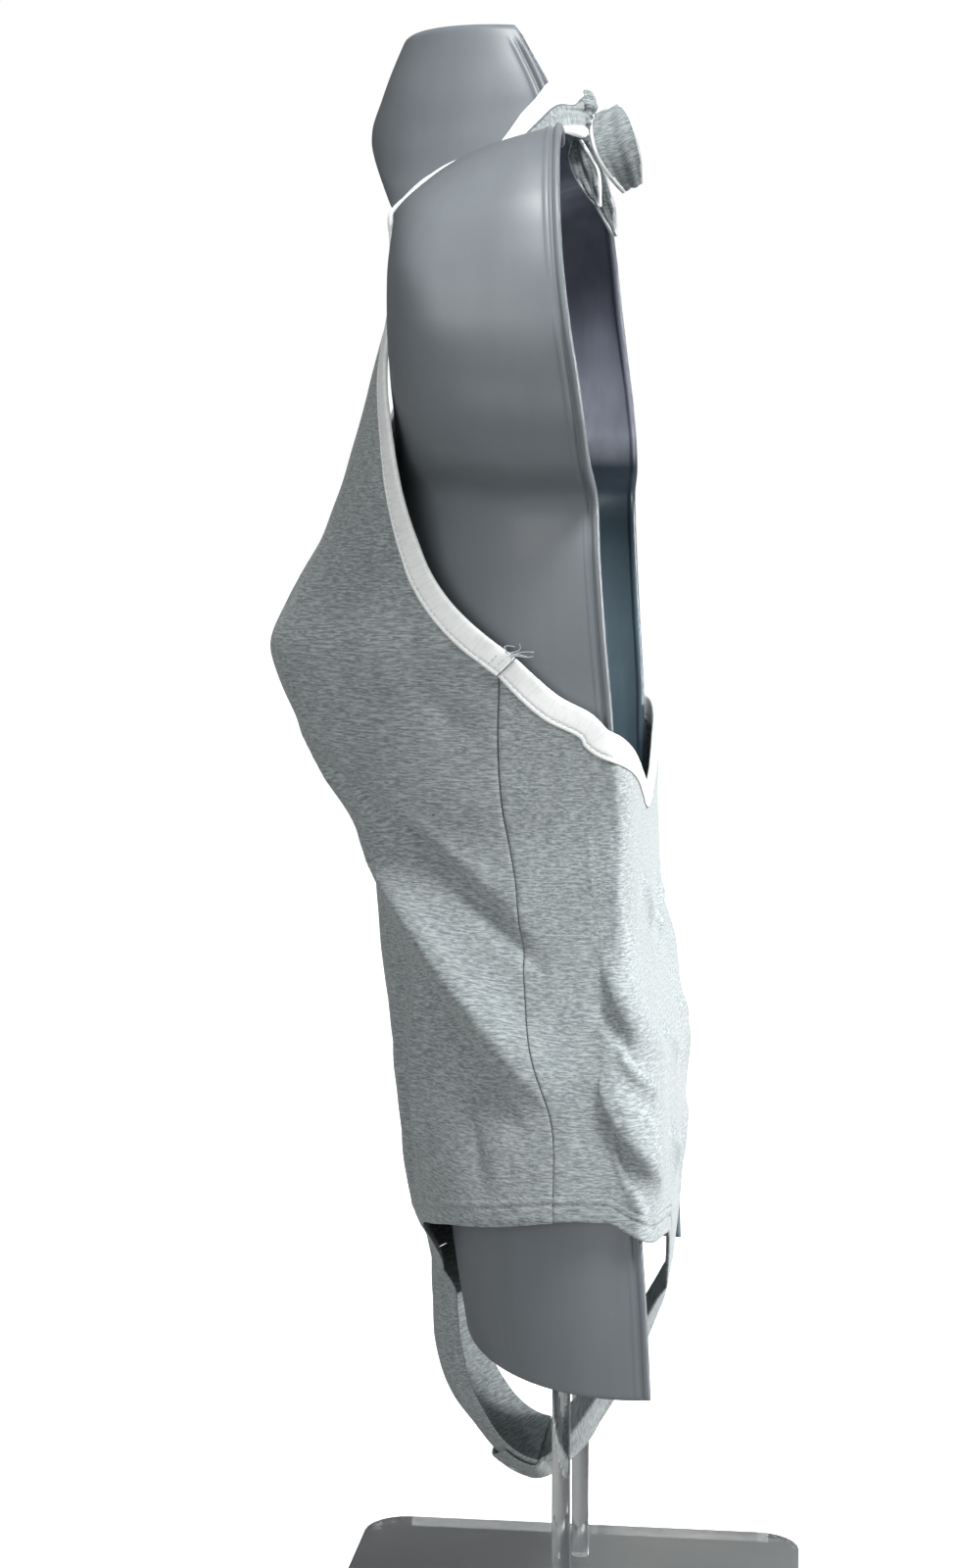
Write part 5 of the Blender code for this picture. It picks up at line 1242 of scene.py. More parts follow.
def add_stitches(name, runs, pitch, length, radius, grey=False):
    """All stitches of one kind as one object: every run is a path and its normals."""
    beads = np.concatenate([bead_points(path, facing, pitch, length, radius) for path, facing in runs])
    count = len(beads)
    template = grid_quads(5, 6, closed=True)
    ends = np.array([[0, 1, 2, 3], [0, 3, 4, 5]])
    template = np.concatenate([template, ends[:, ::-1], ends + 24])
    faces = (template[None] + np.arange(count)[:, None, None] * 30).reshape(-1, 4)
    points = beads.reshape(-1, 3)
    first = face_outward(points[:30], template)
    if not np.array_equal(first, template):
        faces = faces[:, ::-1]
    return add_piece(name, points, faces, [sewing_thread(grey)])


def hem_runs(distance, wall, crease_depth):
    """Paths along the turned hem of both panels, on the outer face, on both sides."""
    runs = []
    seam = edge_angle(SEAM_COLUMNS, SEAM_ROWS, LEVEL_LINE)
    for low, high in ((math.radians(14.5), seam - 0.006), (seam + 0.006, math.radians(165.0))):
        angle = np.linspace(low, high, 260)
        height = hem_height(angle) + distance * hem_offset(angle)
        for side in (1, -1):
            relief = cloth_relief(side * angle, height, np.ones_like(angle), crease_depth)
            normal = cloth_normal(side * angle, height)
            skin = cloth_surface(side * angle, height) + normal * (relief + wall / 2)[:, None]
            runs.append((skin, normal))
    return runs


def tape_runs():
    """Paths along the groove near each tape's cloth side, on its outer face."""
    runs = []
    groove = np.array([TAPE_GROOVE])
    for maker, mirror in ((armhole_spine, True), (neckline_spine, True), (back_spine, False)):
        spine, normals = maker()
        path, facing = (found[:, 0] for found in on_tape(spine, normals, groove, np.ones(len(spine))))
        runs.append((path, facing))
        if mirror:
            runs.append((path * MIRROR, facing * MIRROR))
    return runs


def join_runs():
    """Two rows of stitches across each armhole tape, where its end is folded over."""
    runs = []
    spine, normals = armhole_spine()
    along = path_lengths(spine[:, 1], 0)
    section = np.stack([np.linspace(0.0004, 0.0124, 24), np.full(24, 0.0020)], axis=-1)
    points, facing = on_tape(spine, normals, section, np.ones(len(spine)))
    for distance in (0.0032, 0.0066):
        row = np.searchsorted(along, distance)
        runs.append((points[row], facing[row]))
        runs.append((points[row] * MIRROR, facing[row] * MIRROR))
    return runs


def strap_runs(grid, normals, out, free_end):
    """Paths along the strap's hemmed edges and round the boxes."""
    width, length = path_lengths(grid, 1), path_lengths(grid, 0)
    middle = grid.shape[1] // 2
    at = length[:, middle] if free_end == 0 else length[-1, middle] - length[:, middle]
    order = np.argsort(at)
    skin = grid + normals * (out - 0.0001)[..., None]

    def place(across, from_end):
        """Points and normals of the outer face at distances across it and from its free end."""
        row = np.clip(np.interp(from_end, at[order], order), 0, len(grid) - 1.001)
        low = row.astype(int)
        share = (row - low)[:, None]
        found = []
        for field in (skin, normals):
            ends = []
            for shift in (0, 1):
                lines = field[low + shift]
                spread = width[low + shift] - width[low + shift][:, -1:] / 2
                step = (spread < across[:, None]).sum(1).clip(1, grid.shape[1] - 1)
                line = np.arange(len(low))
                before, after = spread[line, step - 1], spread[line, step]
                part = ((across - before) / (after - before))[:, None]
                ends.append(lines[line, step - 1] * (1 - part) + lines[line, step] * part)
            found.append(ends[0] * (1 - share) + ends[1] * share)
        return found[0], unit(found[1])

    total = at.max()
    runs = []
    down = np.linspace(CROTCH_HEM, total - 0.003, 160)
    half_width = np.interp(down, at[order], (width[:, -1] / 2)[order])
    for side in (1, -1):
        runs.append(place(side * (half_width - CROTCH_HEM), down))
    turn = np.linspace(0, 2 * math.pi, 81)
    reach = BOX_HALF * superellipse(turn, 7.0)
    for side in (1, -1):
        runs.append(place(side * STUD_INSET + reach * np.sin(turn), BOX_FROM_END + reach * np.cos(turn)))
    return runs


LOOSE_THREAD = 0.00028     # radius of a loose thread at its root
THREADS = (                 # start, pull and curl of the loose threads at a tape join
    (0.0020, 0.0000, 0.0040, 0.0075, -0.0040, 0.0030),
    (0.0040, 0.0010, 0.0025, 0.0090, -0.0010, -0.0035),
    (0.0050, -0.0010, 0.0055, 0.0060, 0.0030, 0.0025),
    (0.0030, 0.0005, 0.0015, 0.0105, -0.0065, 0.0020),
    (0.0060, 0.0000, 0.0045, 0.0050, -0.0075, -0.0030),
    (0.0015, 0.0010, 0.0060, 0.0035, -0.0060, 0.0040),
    (0.0045, 0.0005, 0.0030, 0.0080, 0.0015, 0.0050),
    (0.0025, -0.0005, 0.0010, 0.0070, -0.0085, -0.0020),
)


def build_threads():
    """Frayed thread ends at both tape joins: bowed tubes, thinner towards their tips."""
    spine, normals = armhole_spine()
    fold = spine[0, 2] + normals[0, 2] * 0.0012
    up, out = unit(spine[8, 1] - spine[0, 1]), normals[0, 1]
    back = unit(spine[0, 2] - spine[0, 0])
    t = np.linspace(0, 1, 12)[:, None]
    rings, sides = [], 6
    turn = np.arange(sides)[:, None] * 2 * math.pi / sides
    for along, aside, pull_out, pull_back, pull_up, curl in THREADS:
        path = fold + up * along + out * aside + t * (out * pull_out + back * pull_back + up * pull_up)
        path = path + np.sin(3.4 * t) * curl * up * t + np.sin(2.2 * t) * curl * 0.6 * out
        forward = unit(np.gradient(path, axis=0))
        side = unit(np.cross(forward, out))
        ring = np.cos(turn) * side[:, None] + np.sin(turn) * np.cross(forward, side)[:, None]
        rings.append(path[:, None] + ring * (LOOSE_THREAD * (1 - 0.5 * t))[:, :, None])
    rings = np.stack(rings)
    rings = np.concatenate([rings, rings * MIRROR])
    template = np.concatenate([grid_quads(12, sides, closed=True),
                               [[3, 2, 1, 0], [5, 4, 3, 0]],
                               np.array([[0, 1, 2, 3], [0, 3, 4, 5]]) + 11 * sides])
    pieces = []
    for side, part in (("left", rings[:len(THREADS)]), ("right", rings[len(THREADS):])):
        kinds = face_outward(part[0].reshape(-1, 3), template)
        faces = (kinds[None] + np.arange(len(part))[:, None, None] * 12 * sides).reshape(-1, 4)
        pieces.append(add_piece(f"loose_threads_{side}", part.reshape(-1, 3), faces,
                                [sewing_thread(False)]))
    return pieces


def build_stitches(wall, pitch, crease_depth):
    """Every visible row of stitches, as one object for each kind of seam."""
    runs = [run for distance in HEM_SEAMS for run in hem_runs(distance, wall, crease_depth)]
    return [
        add_stitches("stitches_hem", runs, pitch, 0.70 * pitch, HEM_THREAD, True),
        add_stitches("stitches_tape", tape_runs(), pitch, 0.78 * pitch, TAPE_THREAD),
        add_stitches("stitches_join", join_runs(), JOIN_PITCH, STITCH_LENGTH, TAPE_THREAD),
    ]


def build_crotch(wall):
    """The front strap ends inside; the back strap's end lies outside it. Their stitches
    come with them, as they follow the same folds."""
    front, back = crotch_grids()
    front_strap, *front_shape = add_crotch_strap("crotch_front", front, -1, wall, "crotch_strap_front")
    back_strap, *back_shape = add_crotch_strap("crotch_back", back, 0, wall, "crotch_strap_back")
    runs = strap_runs(*front_shape, -1) + strap_runs(*back_shape, 0)
    stitches = add_stitches("stitches_crotch", runs, CROTCH_PITCH, STITCH_LENGTH, CROTCH_THREAD,
                            True)
    return [front_strap, back_strap, stitches]


# ---------------------------------------------------------------- materials
def wire(tree, kind, inputs=(), **settings):
    """A new node with its settings, and its inputs set to values or linked to sockets."""
    node = tree.nodes.new(kind)
    for name, value in settings.items():
        setattr(node, name, value)
    for name, value in dict(inputs).items():
        if isinstance(value, bpy.types.NodeSocket):
            tree.links.new(value, node.inputs[name])
        else:
            node.inputs[name].default_value = value
    return node


def maths(tree, operation, a, b=0.0, c=0.0, clamp=False):
    """One sum of up to three values or sockets."""
    return wire(tree, "ShaderNodeMath", {0: a, 1: b, 2: c}, operation=operation, use_clamp=clamp).outputs[0]


def stretched_noise(tree, vector, scale, detail=2.0, roughness=0.5):
    """Noise over a vector whose three parts are scaled by their own amounts."""
    scaled = wire(tree, "ShaderNodeMapping", {"Vector": vector, "Scale": scale})
    noise = wire(tree, "ShaderNodeTexNoise", {"Vector": scaled.outputs[0], "Scale": 1.0, "Detail": detail,
                                              "Roughness": roughness})
    return noise.outputs["Fac"]


def mixed(tree, factor, a, b, kind="MIX"):
    """Colour a blended towards colour b by a factor."""
    node = tree.nodes.new("ShaderNodeMix")
    node.data_type, node.blend_type = "RGBA", kind
    for index, value in ((0, factor), (6, a), (7, b)):
        if isinstance(value, bpy.types.NodeSocket):
            tree.links.new(value, node.inputs[index])
        else:
            node.inputs[index].default_value = value
    return node.outputs[2]


def shaded(tree, colour, shade):
    """A colour times one grey shade."""
    tint = wire(tree, "ShaderNodeCombineColor", {0: shade, 1: shade, 2: shade}).outputs[0]
    return mixed(tree, 1.0, colour, tint, "MULTIPLY")


def remap(tree, value, low, high, to_low, to_high):
    """A value moved in a straight line from one range to another."""
    return wire(tree, "ShaderNodeMapRange", {0: value, 1: low, 2: high, 3: to_low, 4: to_high}).outputs[0]


def node_group(name, inputs, outputs):
    """A named shader group with its sockets, or None for the group if it was built before."""
    if name in bpy.data.node_groups:
        return bpy.data.node_groups[name], None, None
    group = bpy.data.node_groups.new(name, "ShaderNodeTree")
    for label, kind, value in inputs:
        socket = group.interface.new_socket(name=label, in_out="INPUT", socket_type=kind)
        if value is not None:
            socket.default_value = value
    for label, kind in outputs:
        group.interface.new_socket(name=label, in_out="OUTPUT", socket_type=kind)
    return group, group.nodes.new("NodeGroupInput"), group.nodes.new("NodeGroupOutput")


def heather_group():
    """Heather yarn: short streaks along each course, lighter and darker than the ground,
    over a faint cloudiness, with fine fibres and knit loops as height."""
    group, start, end = node_group(
        "Heather yarn",
        [("Cloth", "NodeSocketVector", None), ("Ground", "NodeSocketColor", (0.3, 0.33, 0.33, 1)),
         ("Dark fleck", "NodeSocketColor", (0.15, 0.17, 0.18, 1)),
         ("Light fleck", "NodeSocketColor", (0.5, 0.53, 0.53, 1))],
        [("Color", "NodeSocketColor"), ("Height", "NodeSocketFloat"), ("Roughness", "NodeSocketFloat")])
    if start is None:
        return group
    cloth = start.outputs["Cloth"]
    long_streak = stretched_noise(group, cloth, (120.0, 850.0, 1.0), 2.0, 0.6)
    short_streak = stretched_noise(group, cloth, (280.0, 1300.0, 1.0), 2.0, 0.6)
    clouds = stretched_noise(group, cloth, (22.0, 22.0, 1.0), 3.0, 0.5)
    dark = maths(group, "MAXIMUM", remap(group, long_streak, 0.50, 0.34, 0.0, 0.75),
                 remap(group, short_streak, 0.48, 0.36, 0.0, 0.75))
    light = maths(group, "MAXIMUM", remap(group, long_streak, 0.53, 0.68, 0.0, 0.75),
                  remap(group, short_streak, 0.53, 0.66, 0.0, 0.75))
    colour = mixed(group, dark, start.outputs["Ground"], start.outputs["Dark fleck"])
    colour = mixed(group, light, colour, start.outputs["Light fleck"])
    colour = shaded(group, colour, remap(group, clouds, 0.3, 0.7, 0.93, 1.06))
    loops = stretched_noise(group, cloth, (1300.0, 1300.0, 1.0), 1.0, 0.5)
    height = maths(group, "ADD", maths(group, "MULTIPLY", long_streak, 0.6),
                   maths(group, "MULTIPLY", loops, 0.8))
    group.links.new(colour, end.inputs["Color"])
    group.links.new(height, end.inputs["Height"])
    group.links.new(remap(group, short_streak, 0.3, 0.7, 0.95, 0.82), end.inputs["Roughness"])
    return group


def tape_group():
    """Plain knit tape: fine ribs along it, small clouds and slight greying."""
    group, start, end = node_group(
        "Knit tape", [("Cloth", "NodeSocketVector", None), ("White", "NodeSocketColor", (0.8, 0.82, 0.8, 1)),
                      ("Grey", "NodeSocketColor", (0.6, 0.63, 0.62, 1))],
        [("Color", "NodeSocketColor"), ("Height", "NodeSocketFloat")])
    if start is None:
        return group
    cloth = start.outputs["Cloth"]
    ribs = stretched_noise(group, cloth, (1200.0, 2400.0, 1.0), 1.0, 0.5)
    across = stretched_noise(group, cloth, (700.0, 90.0, 1.0), 2.0, 0.5)
    clouds = stretched_noise(group, cloth, (60.0, 60.0, 1.0), 3.0, 0.6)
    grey = maths(group, "ADD", remap(group, across, 0.45, 0.7, 0.0, 0.35),
                 remap(group, clouds, 0.4, 0.75, 0.0, 0.35), clamp=True)
    group.links.new(mixed(group, grey, start.outputs["White"], start.outputs["Grey"]), end.inputs["Color"])
    group.links.new(maths(group, "ADD", ribs, maths(group, "MULTIPLY", across, 0.6)), end.inputs["Height"])
    return group


def plastic_group():
    """Moulded plastic: soft mottling, fine grain, and faint vertical flow streaks."""
    group, start, end = node_group(
        "Moulded plastic",
        [("Place", "NodeSocketVector", None), ("Base", "NodeSocketColor", (0.2, 0.22, 0.23, 1)),
         ("Streak", "NodeSocketFloat", 0.0)],
        [("Color", "NodeSocketColor"), ("Height", "NodeSocketFloat"), ("Roughness", "NodeSocketFloat")])
    if start is None:
        return group
    place = start.outputs["Place"]
    clouds = stretched_noise(group, place, (9.0, 9.0, 9.0), 3.0, 0.55)
    grain = stretched_noise(group, place, (900.0, 900.0, 900.0), 2.0, 0.5)
    flow = stretched_noise(group, place, (60.0, 60.0, 2.2), 3.0, 0.6)
    streaks = maths(group, "SUBTRACT", flow, 0.5)
    strength = maths(group, "MULTIPLY", start.outputs["Streak"], 0.9)
    shade = maths(group, "MULTIPLY_ADD", streaks, strength, remap(group, clouds, 0.3, 0.7, 0.94, 1.06))
    group.links.new(shaded(group, start.outputs["Base"], shade), end.inputs["Color"])
    group.links.new(maths(group, "ADD", grain, maths(group, "MULTIPLY", flow, start.outputs["Streak"])),
                    end.inputs["Height"])
    group.links.new(remap(group, clouds, 0.3, 0.7, 0.40, 0.52), end.inputs["Roughness"])
    return group


SPECK = (0.1180, -0.0590, 0.4665)
INSIDE_PAINTED_LIGHT_HEIGHTS = (0.645, 0.665)     # the heights between which the form's inside turns paler: painted light on its upper part
INSIDE_PAINTED_SHADOW_HEIGHTS = (0.550, 0.635)      # and those between which its lower part turns darker: a painted shadow under the stubs' ledge
# Painted shade and light on the form's inside, which is one plastic: the lower colour is painted shade, the
# near-black one a painted shadow and the pale one above painted light.
INSIDE_PAINTED_SHADE_COLOUR = (0.075, 0.115, 0.140, 1)
INSIDE_PAINTED_SHADOW_COLOUR = (0.006, 0.014, 0.022, 1)
INSIDE_PAINTED_LIGHT_COLOUR = (0.150, 0.160, 0.200, 1)


def new_material(name, group, vector, settings, constants, bump):
    """A material whose one node group feeds the shader's colour, roughness and bump."""
    made = bpy.data.materials.new(name)
    made.use_nodes = True
    tree = made.node_tree
    shader = tree.nodes["Principled BSDF"]
    effect = tree.nodes.new("ShaderNodeGroup")
    effect.node_tree = group
    if vector == "cloth":
        place = wire(tree, "ShaderNodeUVMap", uv_map="cloth").outputs[0]
    else:
        place = wire(tree, "ShaderNodeTexCoord").outputs["Object"]
    tree.links.new(place, effect.inputs[0])
    for label, value in settings.items():
        effect.inputs[label].default_value = value
    # The form's inside gets painted shade by height: a darker lower part, a painted shadow below the ledge
    # and painted light above it.
    if name == "form_plastic_inside":
        height = wire(tree, "ShaderNodeSeparateXYZ", {0: place}).outputs["Z"]
        base = mixed(tree, remap(tree, height, *INSIDE_PAINTED_SHADOW_HEIGHTS, 0.0, 1.0), INSIDE_PAINTED_SHADE_COLOUR, INSIDE_PAINTED_SHADOW_COLOUR)
        base = mixed(tree, remap(tree, height, *INSIDE_PAINTED_LIGHT_HEIGHTS, 0.0, 1.0), base, INSIDE_PAINTED_LIGHT_COLOUR)
        tree.links.new(base, effect.inputs["Base"])
    colour = effect.outputs["Color"]
    if name == "grey_heather_knit":
        colour = small_mark(tree, colour)
    tree.links.new(colour, shader.inputs["Base Color"])
    if "Roughness" in effect.outputs and "Roughness" not in constants:
        tree.links.new(effect.outputs["Roughness"], shader.inputs["Roughness"])
    relief = wire(tree, "ShaderNodeBump",
                  {"Height": effect.outputs["Height"], "Distance": bump, "Strength": 1.0})
    tree.links.new(relief.outputs[0], shader.inputs["Normal"])
    for label, value in constants.items():
        shader.inputs[label].default_value = value
    return made


def small_mark(tree, colour):
    """One small dark speck on the left of the waist."""
    place = wire(tree, "ShaderNodeTexCoord").outputs["Object"]
    away = wire(tree, "ShaderNodeVectorMath", {0: place, 1: SPECK}, operation="DISTANCE").outputs["Value"]
    return mixed(tree, remap(tree, away, 0.0010, 0.0004, 0.0, 0.8), colour, (0.03, 0.03, 0.035, 1))


def heather_jersey():
    """The jersey's material."""
    return bpy.data.materials.get("grey_heather_knit") or new_material(
        "grey_heather_knit", heather_group(), "cloth",
        {"Ground": (0.272, 0.307, 0.306, 1), "Dark fleck": (0.125, 0.150, 0.166, 1),
         "Light fleck": (0.460, 0.490, 0.500, 1)},
        {"Sheen Weight": 0.25, "Sheen Roughness": 0.6, "Specular IOR Level": 0.2}, 0.00016)


def white_tape():
    """The bindings' material."""
    return bpy.data.materials.get("white_tape") or new_material(
        "white_tape", tape_group(), "cloth",
        {"White": (0.935, 0.955, 0.940, 1), "Grey": (0.72, 0.75, 0.74, 1)},
        {"Roughness": 0.85, "Sheen Weight": 0.2, "Specular IOR Level": 0.25}, 0.00012)


def sewing_thread(grey):
    """White thread for the tapes, grey for the hems."""
    name = "grey_thread" if grey else "white_thread"
    return bpy.data.materials.get(name) or new_material(
        name, tape_group(), "object",
        {"White": (0.36, 0.39, 0.39, 1), "Grey": (0.22, 0.25, 0.25, 1)} if grey else
        {"White": (0.66, 0.70, 0.70, 1), "Grey": (0.46, 0.50, 0.50, 1)},
        {"Roughness": 0.7, "Sheen Weight": 0.2}, 0.00004)


def form_plastic(name, inside):
    """The form's material: `inside` is 1 for the hollow side, which is streakier and carries painted shade
    and light by height.
    """
    return bpy.data.materials.get(name) or new_material(
        name, plastic_group(), "object",
        {"Base": (0.168, 0.187, 0.202, 1), "Streak": 0.25 + 0.75 * inside},
        {"Specular IOR Level": 0.45, "Coat Weight": 0.08, "Coat Roughness": 0.3}, 0.00003)


def stud_metal():
    """The press studs' material."""
    return bpy.data.materials.get("stud_brass") or new_material(
        "stud_brass", plastic_group(), "object", {"Base": (0.62, 0.62, 0.60, 1), "Streak": 0.3},
        {"Metallic": 1.0}, 0.00002)


def clear_acrylic():
    """The stand's material."""
    return bpy.data.materials.get("clear_acrylic_sheet") or new_material(
        "clear_acrylic_sheet", plastic_group(), "object", {"Base": (0.97, 0.99, 1.0, 1), "Streak": 0.0},
        {"Roughness": 0.03, "Transmission Weight": 1.0, "IOR": 1.35, "Specular IOR Level": 0.2}, 0.00001)


# ---------------------------------------------------------------- stand and studs
def dress_solid(name, finish, round_off):
    """A stated solid that is already right: a finer material and rounded edges."""
    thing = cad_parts[name]
    thing.data.materials.clear()
    thing.data.materials.append(finish)
    edge = thing.modifiers.new("rounded edges", "BEVEL")
    edge.width, edge.segments, edge.limit_method = round_off, 3, "ANGLE"
    return thing


def finish_studs():
    """Both press studs, closed, between the crotch strap's two ends."""
    return [dress_solid(sided("press_stud", side), stud_metal(), 0.0003) for side in (1, -1)]


def finish_stand():
    """Base plate, two rods and the bridge inside the form."""
    names = ("stand_base", "stand_rod_left", "stand_rod_right", "stand_bridge")
    return [dress_solid(name, clear_acrylic(), 0.0008) for name in names]


# ---------------------------------------------------------------- stage
CAMERA_TARGET = (0.0, -0.05, 0.47)
CAMERA_SIDE = 97.0         # degrees round from the front towards the wearer's left
CAMERA_RISE = 6.0
CAMERA_DISTANCE = 1.5
CAMERA_LENS = 62.5
RENDER_SIZE = (979, 1600)
FLOOR_COLOUR = (0.93, 0.93, 0.92, 1)
FLOOR_GLOW = 0.85
FLOOR_BOUNCE = 0.25        # the floor's brightness to everything but the camera
WHITE = (1.0, 1.0, 1.0, 1.0)


def pale_floor(colour, glow, bounce):
    """A matt pale material with a faint cloudiness, which glows a little to the camera.
    To the object it is darker, so that little light comes from below."""
    made = bpy.data.materials.new("pale_floor")
    made.use_nodes = True
    tree = made.node_tree
    shader = tree.nodes["Principled BSDF"]
    place = wire(tree, "ShaderNodeTexCoord").outputs["Object"]
    clouds = stretched_noise(tree, place, (1.5, 1.5, 1.5), 3.0, 0.5)
    base = mixed(tree, remap(tree, clouds, 0.3, 0.7, 0.0, 0.3), colour, WHITE)
    tree.links.new(base, shader.inputs["Base Color"])
    for label, value in {"Roughness": 0.9, "Emission Color": WHITE, "Emission Strength": glow}.items():
        shader.inputs[label].default_value = value
    dull = wire(tree, "ShaderNodeBsdfDiffuse", {"Color": (bounce, bounce, bounce, 1)})
    seen = wire(tree, "ShaderNodeLightPath").outputs["Is Camera Ray"]
    mix = wire(tree, "ShaderNodeMixShader", {0: seen, 1: dull.outputs[0], 2: shader.outputs[0]})
    tree.links.new(mix.outputs[0], tree.nodes["Material Output"].inputs["Surface"])
    return made


def build_floor(size):
    """A wide flat floor under the stand, a hair below it."""
    place = np.linspace(-size / 2, size / 2, 9)
    x, y = np.meshgrid(place, place)
    mesh = bpy.data.meshes.new("studio_floor")
    mesh.from_pydata(np.stack([x, y, np.full_like(x, -0.0005)], axis=-1).reshape(-1, 3).tolist(), [],
                     grid_quads(9, 9).tolist())
    mesh.materials.append(pale_floor(FLOOR_COLOUR, FLOOR_GLOW, FLOOR_BOUNCE))
    floor = bpy.data.objects.new("studio_floor", mesh)
    bpy.context.scene.collection.objects.link(floor)
    return floor


def add_light(name, place, aim, size, power, spread=math.pi):
    """A square soft light at `place` that faces `aim`."""
    lamp = bpy.data.lights.new(name, "AREA")
    lamp.shape, lamp.size, lamp.energy, lamp.spread = "SQUARE", size, power, spread
    light = bpy.data.objects.new(name, lamp)
    light.location = place
    light.rotation_euler = (Vector(aim) - Vector(place)).to_track_quat("-Z", "Y").to_euler()
    bpy.context.scene.collection.objects.link(light)
    return light


def build_world(front_light, back_light):
    """A white backdrop to the camera. To the object it is a soft light that grows from the
    front towards the back, and a little towards the top."""
    world = bpy.data.worlds.new("studio_world")
    world.use_nodes = True
    bpy.context.scene.world = world
    tree = world.node_tree
    tree.nodes.clear()
    place = wire(tree, "ShaderNodeTexCoord").outputs["Generated"]
    split = wire(tree, "ShaderNodeSeparateXYZ", {0: place})
    backward = maths(tree, "MULTIPLY", split.outputs["Y"], 0.6)
    along = maths(tree, "MULTIPLY_ADD", split.outputs["Z"], 0.8, backward)
    strength = remap(tree, along, -1.0, 1.0, front_light, back_light)
    soft = wire(tree, "ShaderNodeBackground", {"Color": (0.96, 0.98, 1.0, 1), "Strength": strength})
    plain = wire(tree, "ShaderNodeBackground", {"Color": WHITE, "Strength": 1.0})
    seen = wire(tree, "ShaderNodeLightPath").outputs["Is Camera Ray"]
    mix = wire(tree, "ShaderNodeMixShader", {0: seen, 1: soft.outputs[0], 2: plain.outputs[0]})
    wire(tree, "ShaderNodeOutputWorld", {"Surface": mix.outputs[0]})


def build_camera():
    """Level with the waist, a little above it and seen from the wearer's left."""
    side, rise = math.radians(CAMERA_SIDE), math.radians(CAMERA_RISE)
    back = Vector((math.sin(side) * math.cos(rise), -math.cos(side) * math.cos(rise), math.sin(rise)))
    lens = bpy.data.cameras.new("studio_camera")
    lens.lens, lens.sensor_width, lens.sensor_fit = CAMERA_LENS, 36.0, "AUTO"
    lens.clip_start = 0.05
    camera = bpy.data.objects.new("studio_camera", lens)
    camera.location = Vector(CAMERA_TARGET) + back * CAMERA_DISTANCE
    camera.rotation_euler = (-back).to_track_quat("-Z", "Y").to_euler()
    scene = bpy.context.scene
    scene.collection.objects.link(camera)
    scene.camera = camera
    scene.render.resolution_x, scene.render.resolution_y = RENDER_SIZE
    scene.view_settings.view_transform = "Standard"
    return camera


# ---------------------------------------------------------------- add-on
class BodysuitCloth(bpy.types.PropertyGroup):
    """Sizes of the cloth and its stitches."""
    wall: FloatProperty(name="Jersey", description="Thickness of the jersey",
                        default=0.0012, min=0.0008, max=0.002, unit="LENGTH", precision=4)
    crease_depth: FloatProperty(name="Crease depth", description="Share of the creases' full height",
                                default=1.25, min=0.0, max=1.5, subtype="FACTOR")
    stitch_pitch: FloatProperty(name="Stitch pitch", description="Distance from one stitch to the next",
                                default=0.0031, min=0.002, max=0.006, unit="LENGTH", precision=4)


class BodysuitForm(bpy.types.PropertyGroup):
    """Sizes of the display form."""
    wall: FloatProperty(name="Wall", description="Thickness of the form's plastic",
                        default=FORM_WALL, min=0.002, max=0.004, unit="LENGTH", precision=4)


class BodysuitStage(bpy.types.PropertyGroup):
    """Size and brightness of the plain stage."""
    floor_size: FloatProperty(name="Floor", description="Length of the floor's sides",
                              default=40.0, min=4.0, max=100.0, unit="LENGTH")
    key_power: FloatProperty(name="Key light", description="Power of the large light above the back panel",
                             default=84.0, min=0.0, max=400.0, unit="POWER")
    back_power: FloatProperty(name="Back light", description="Power of the light that grazes the back",
                              default=4.2, min=0.0, max=600.0, unit="POWER")
    fill_power: FloatProperty(name="Fill light", description="Power of the weak light beside the camera",
                              default=20.0, min=0.0, max=200.0, unit="POWER")
    front_light: FloatProperty(name="Front", description="Brightness of the surroundings in front",
                               default=0.05, min=0.0, max=4.0)
    back_light: FloatProperty(name="Back", description="Brightness of the surroundings behind",
                              default=0.43, min=0.0, max=4.0)


def need(made):
    """The pieces, if every one has faces; if not, an error that stops the run."""
    for thing in made:
        if thing is None or (thing.type == "MESH" and not thing.data.polygons):
            raise RuntimeError("a piece came out empty")
    return {"FINISHED"}


class BODYSUIT_OT_form(bpy.types.Operator):
    """Build the hollow half-shell display form"""
    bl_idname = "bodysuit.form"
    bl_label = "Display form"

    def execute(self, context):
        return need([build_form(context.scene.bodysuit_form.wall)])


class BODYSUIT_OT_panels(bpy.types.Operator):
    """Build the front and back jersey panels"""
    bl_idname = "bodysuit.panels"
    bl_label = "Panels"

    def execute(self, context):
        cloth = context.scene.bodysuit_cloth
        return need([build_front_panel(cloth.wall, cloth.crease_depth),
                     build_back_panel(cloth.wall, cloth.crease_depth)])


class BODYSUIT_OT_straps(bpy.types.Operator):
    """Build both halter straps' jersey"""
    bl_idname = "bodysuit.straps"
    bl_label = "Halter straps"

    def execute(self, context):
        return need(build_straps(context.scene.bodysuit_cloth.wall))


class BODYSUIT_OT_tapes(bpy.types.Operator):
    """Build the five folded white tapes"""
    bl_idname = "bodysuit.tapes"
    bl_label = "Tapes"

    def execute(self, context):
        return need(build_tapes())


class BODYSUIT_OT_bow(bpy.types.Operator):
    """Build the knot at the nape, its loop and its two tails"""
    bl_idname = "bodysuit.bow"
    bl_label = "Bow"

    def execute(self, context):
        return need([build_knot(), build_loop(),
                     build_tail("tie_tail_end_left", LEFT_TAIL_ROWS, "tie_tail_left"),
                     build_tail("tie_tail_end_right", RIGHT_TAIL_ROWS, "tie_tail_right")])


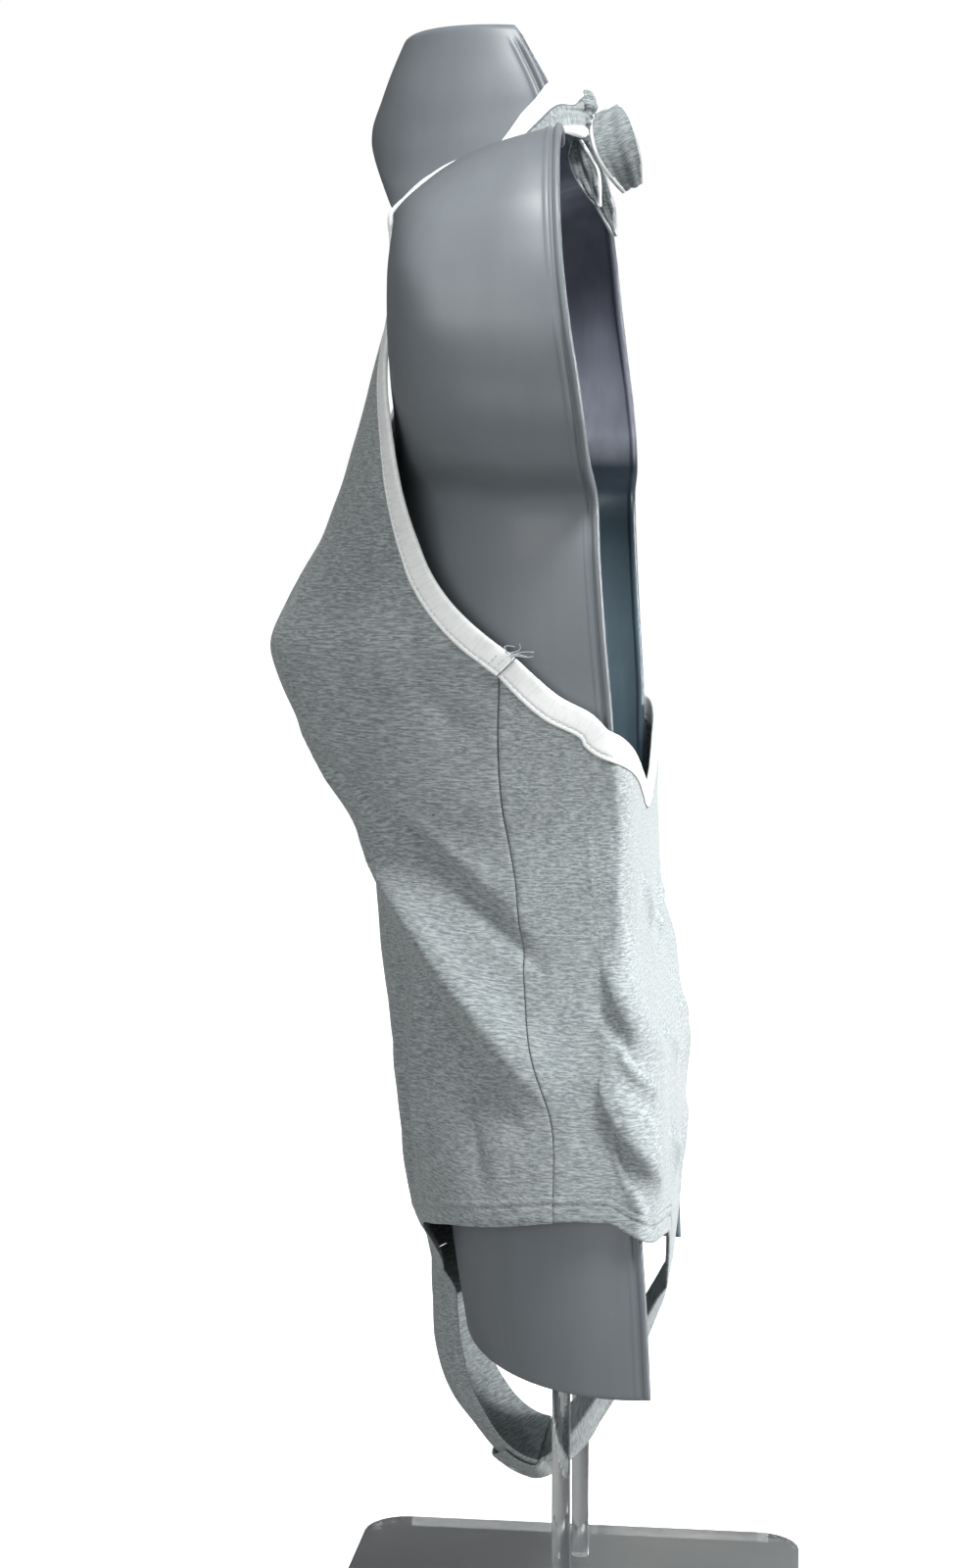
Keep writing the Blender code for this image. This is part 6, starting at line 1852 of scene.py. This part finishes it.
class BODYSUIT_OT_crotch(bpy.types.Operator):
    """Build the crotch strap's two parts and their stitches"""
    bl_idname = "bodysuit.crotch"
    bl_label = "Crotch strap"

    def execute(self, context):
        return need(build_crotch(context.scene.bodysuit_cloth.wall))


class BODYSUIT_OT_stitches(bpy.types.Operator):
    """Sew the hems, tapes and tape joins, with their loose threads"""
    bl_idname = "bodysuit.stitches"
    bl_label = "Stitches"

    def execute(self, context):
        cloth = context.scene.bodysuit_cloth
        return need(build_stitches(cloth.wall, cloth.stitch_pitch, cloth.crease_depth) + build_threads())


class BODYSUIT_OT_studs(bpy.types.Operator):
    """Finish the two press studs"""
    bl_idname = "bodysuit.studs"
    bl_label = "Press studs"

    def execute(self, context):
        return need(finish_studs())


class BODYSUIT_OT_stand(bpy.types.Operator):
    """Finish the clear stand"""
    bl_idname = "bodysuit.stand"
    bl_label = "Stand"

    def execute(self, context):
        return need(finish_stand())


class BODYSUIT_OT_stage(bpy.types.Operator):
    """Set up the floor, lights, backdrop and camera"""
    bl_idname = "bodysuit.stage"
    bl_label = "Stage"

    def execute(self, context):
        stage = context.scene.bodysuit_stage
        floor = build_floor(stage.floor_size)
        build_world(stage.front_light, stage.back_light)
        add_light("back_light", (-0.5, 2.4, 0.6), (0, 0.03, 0.32), 0.6, stage.back_power, math.radians(34))
        add_light("key_light", (1.1, 0.9, 2.7), (0, 0, 0.5), 0.9, stage.key_power)
        add_light("fill_light", (2.3, -0.5, 0.7), (0, 0, 0.45), 1.1, stage.fill_power)
        return need([floor, build_camera()])


class BODYSUIT_PT_panel(bpy.types.Panel):
    """Every step, in the order in which they run"""
    bl_label = "Halter bodysuit"
    bl_space_type = "VIEW_3D"
    bl_region_type = "UI"
    bl_category = "Bodysuit"

    def draw(self, context):
        layout = self.layout
        for settings in (context.scene.bodysuit_cloth, context.scene.bodysuit_form,
                         context.scene.bodysuit_stage):
            box = layout.box()
            for name in settings.__annotations__:
                box.prop(settings, name)
        for step in STEPS:
            layout.operator(step.bl_idname)


STEPS = (BODYSUIT_OT_form, BODYSUIT_OT_panels, BODYSUIT_OT_straps, BODYSUIT_OT_tapes, BODYSUIT_OT_bow,
         BODYSUIT_OT_crotch, BODYSUIT_OT_stitches, BODYSUIT_OT_studs, BODYSUIT_OT_stand, BODYSUIT_OT_stage)
SETTINGS = {"bodysuit_cloth": BodysuitCloth, "bodysuit_form": BodysuitForm, "bodysuit_stage": BodysuitStage}


def register():
    """Add the settings, the steps and their panel."""
    for group in (*SETTINGS.values(), *STEPS, BODYSUIT_PT_panel):
        bpy.utils.register_class(group)
    for name, group in SETTINGS.items():
        setattr(bpy.types.Scene, name, PointerProperty(type=group))


def unregister():
    """Take them away again."""
    for name in SETTINGS:
        delattr(bpy.types.Scene, name)
    for group in (BODYSUIT_PT_panel, *STEPS, *SETTINGS.values()):
        bpy.utils.unregister_class(group)


def main():
    """Run every step in order."""
    register()
    for step in STEPS:
        category, name = step.bl_idname.split(".")
        if getattr(getattr(bpy.ops, category), name)() != {"FINISHED"}:
            raise RuntimeError(step.bl_idname + " didn't finish")
    bpy.context.view_layer.update()


if __name__ == "__main__":
    main()
